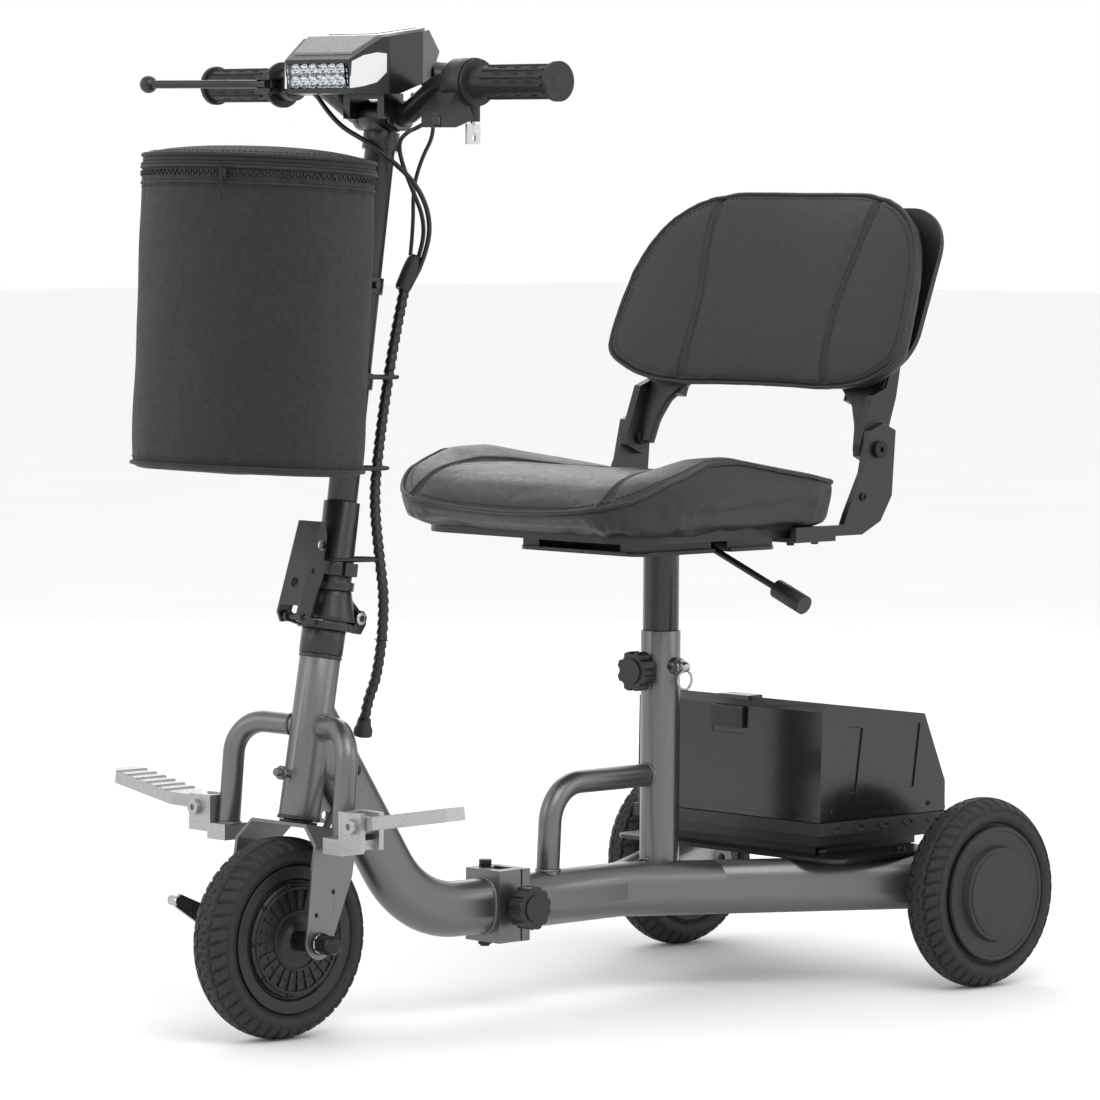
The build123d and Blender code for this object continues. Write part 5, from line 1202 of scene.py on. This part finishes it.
# ---------------------------------------------------------------- operators
class SCOOTER_OT_stage(Operator):
    """Builds the floor, lights and camera."""

    bl_idname = "scooter.stage"
    bl_label = "Studio"

    def execute(self, context):
        build_stage()
        return {"FINISHED"}


class SCOOTER_OT_finishes(Operator):
    """Gives the model's pieces their finishes."""

    bl_idname = "scooter.finishes"
    bl_label = "Frame finishes"

    def execute(self, context):
        finish_frame_pieces()
        return {"FINISHED"}


class SCOOTER_OT_bar_cables(Operator):
    """Draws the cables between bar and stem."""

    bl_idname = "scooter.bar_cables"
    bl_label = "Bar cables"

    def execute(self, context):
        build_bar_cables()
        return {"FINISHED"}


class SCOOTER_OT_loom(Operator):
    """Builds the wrapped cable bundle."""

    bl_idname = "scooter.loom"
    bl_label = "Cable loom"

    def execute(self, context):
        build_loom()
        return {"FINISHED"}


class SCOOTER_OT_motor_cable(Operator):
    """Builds the hub motor's lead."""

    bl_idname = "scooter.motor_cable"
    bl_label = "Motor cable"

    def execute(self, context):
        build_motor_cable()
        return {"FINISHED"}


class SCOOTER_OT_tyres(Operator):
    """Builds the three tyres with their tread."""

    bl_idname = "scooter.tyres"
    bl_label = "Tyres"

    def execute(self, context):
        build_tyres()
        return {"FINISHED"}


class SCOOTER_OT_hubs(Operator):
    """Builds ribs, rings and screws of the wheels."""

    bl_idname = "scooter.hubs"
    bl_label = "Hubs"

    def execute(self, context):
        build_hubs()
        return {"FINISHED"}


class SCOOTER_OT_seat_cushion(Operator):
    """Builds the padded seat."""

    bl_idname = "scooter.seat_cushion"
    bl_label = "Seat cushion"

    def execute(self, context):
        build_seat_cushion()
        return {"FINISHED"}


class SCOOTER_OT_backrest_pad(Operator):
    """Builds the curved backrest pad."""

    bl_idname = "scooter.backrest_pad"
    bl_label = "Backrest pad"

    def execute(self, context):
        build_backrest_pad()
        return {"FINISHED"}


class SCOOTER_OT_bag(Operator):
    """Builds the fabric bag."""

    bl_idname = "scooter.bag"
    bl_label = "Bag"

    def execute(self, context):
        build_bag()
        return {"FINISHED"}


class SCOOTER_OT_bag_lid(Operator):
    """Builds the bag's lid."""

    bl_idname = "scooter.bag_lid"
    bl_label = "Bag lid"

    def execute(self, context):
        build_bag_lid()
        return {"FINISHED"}


class SCOOTER_OT_lamp(Operator):
    """Builds the lamp's lens, lights and cover."""

    bl_idname = "scooter.lamp"
    bl_label = "Lamp"

    def execute(self, context):
        build_lamp()
        return {"FINISHED"}


class SCOOTER_OT_welds(Operator):
    """Adds the weld beads."""

    bl_idname = "scooter.welds"
    bl_label = "Weld beads"

    def execute(self, context):
        build_welds()
        return {"FINISHED"}


class SCOOTER_OT_bolts(Operator):
    """Adds cap screws and washers."""

    bl_idname = "scooter.bolts"
    bl_label = "Bolts"

    def execute(self, context):
        build_bolts()
        return {"FINISHED"}


class SCOOTER_OT_case_trim(Operator):
    """Adds seams and ribs to the battery box."""

    bl_idname = "scooter.case_trim"
    bl_label = "Battery case trim"

    def execute(self, context):
        build_case_trim()
        return {"FINISHED"}


class SCOOTER_OT_bar_trim(Operator):
    """Adds grip pattern, caps and adjuster."""

    bl_idname = "scooter.bar_trim"
    bl_label = "Grip and lever trim"

    def execute(self, context):
        build_bar_trim()
        return {"FINISHED"}


class SCOOTER_OT_brake_lever(Operator):
    """Builds the curved brake lever."""

    bl_idname = "scooter.brake_lever"
    bl_label = "Brake lever"

    def execute(self, context):
        build_brake_lever()
        return {"FINISHED"}


class SCOOTER_OT_back_arms(Operator):
    """Builds the backrest's moulded arms."""

    bl_idname = "scooter.back_arms"
    bl_label = "Backrest arms"

    def execute(self, context):
        build_back_arms()
        return {"FINISHED"}


class SCOOTER_PT_panel(Panel):
    """Sizes, colours and build steps of the scooter."""

    bl_label = "Folding scooter"
    bl_idname = "SCOOTER_PT_panel"
    bl_space_type = "VIEW_3D"
    bl_region_type = "UI"
    bl_category = "Scooter"

    def draw(self, context):
        for group in (context.scene.scooter_colours, context.scene.scooter_sizes):
            for key in group.bl_rna.properties.keys():
                if key not in ("rna_type", "name"):
                    self.layout.prop(group, key)
        for step in STEPS:
            self.layout.operator(step.bl_idname)


STEPS = (
    SCOOTER_OT_stage,
    SCOOTER_OT_finishes,
    SCOOTER_OT_bar_cables,
    SCOOTER_OT_loom,
    SCOOTER_OT_motor_cable,
    SCOOTER_OT_tyres,
    SCOOTER_OT_hubs,
    SCOOTER_OT_seat_cushion,
    SCOOTER_OT_backrest_pad,
    SCOOTER_OT_bag,
    SCOOTER_OT_bag_lid,
    SCOOTER_OT_lamp,
    SCOOTER_OT_welds,
    SCOOTER_OT_bolts,
    SCOOTER_OT_case_trim,
    SCOOTER_OT_bar_trim,
    SCOOTER_OT_brake_lever,
    SCOOTER_OT_back_arms,
)
CLASSES = (ScooterColours, ScooterSizes, *STEPS, SCOOTER_PT_panel)


def register():
    for one in CLASSES:
        bpy.utils.register_class(one)
    bpy.types.Scene.scooter_colours = PointerProperty(type=ScooterColours)
    bpy.types.Scene.scooter_sizes = PointerProperty(type=ScooterSizes)


def unregister():
    del bpy.types.Scene.scooter_sizes
    del bpy.types.Scene.scooter_colours
    for one in reversed(CLASSES):
        bpy.utils.unregister_class(one)


def main():
    """Registers the add-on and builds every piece."""
    register()
    random.seed(7)
    make_finishes()
    for step in STEPS:
        group, name = step.bl_idname.split(".")
        getattr(getattr(bpy.ops, group), name)()


if __name__ == "__main__":
    main()
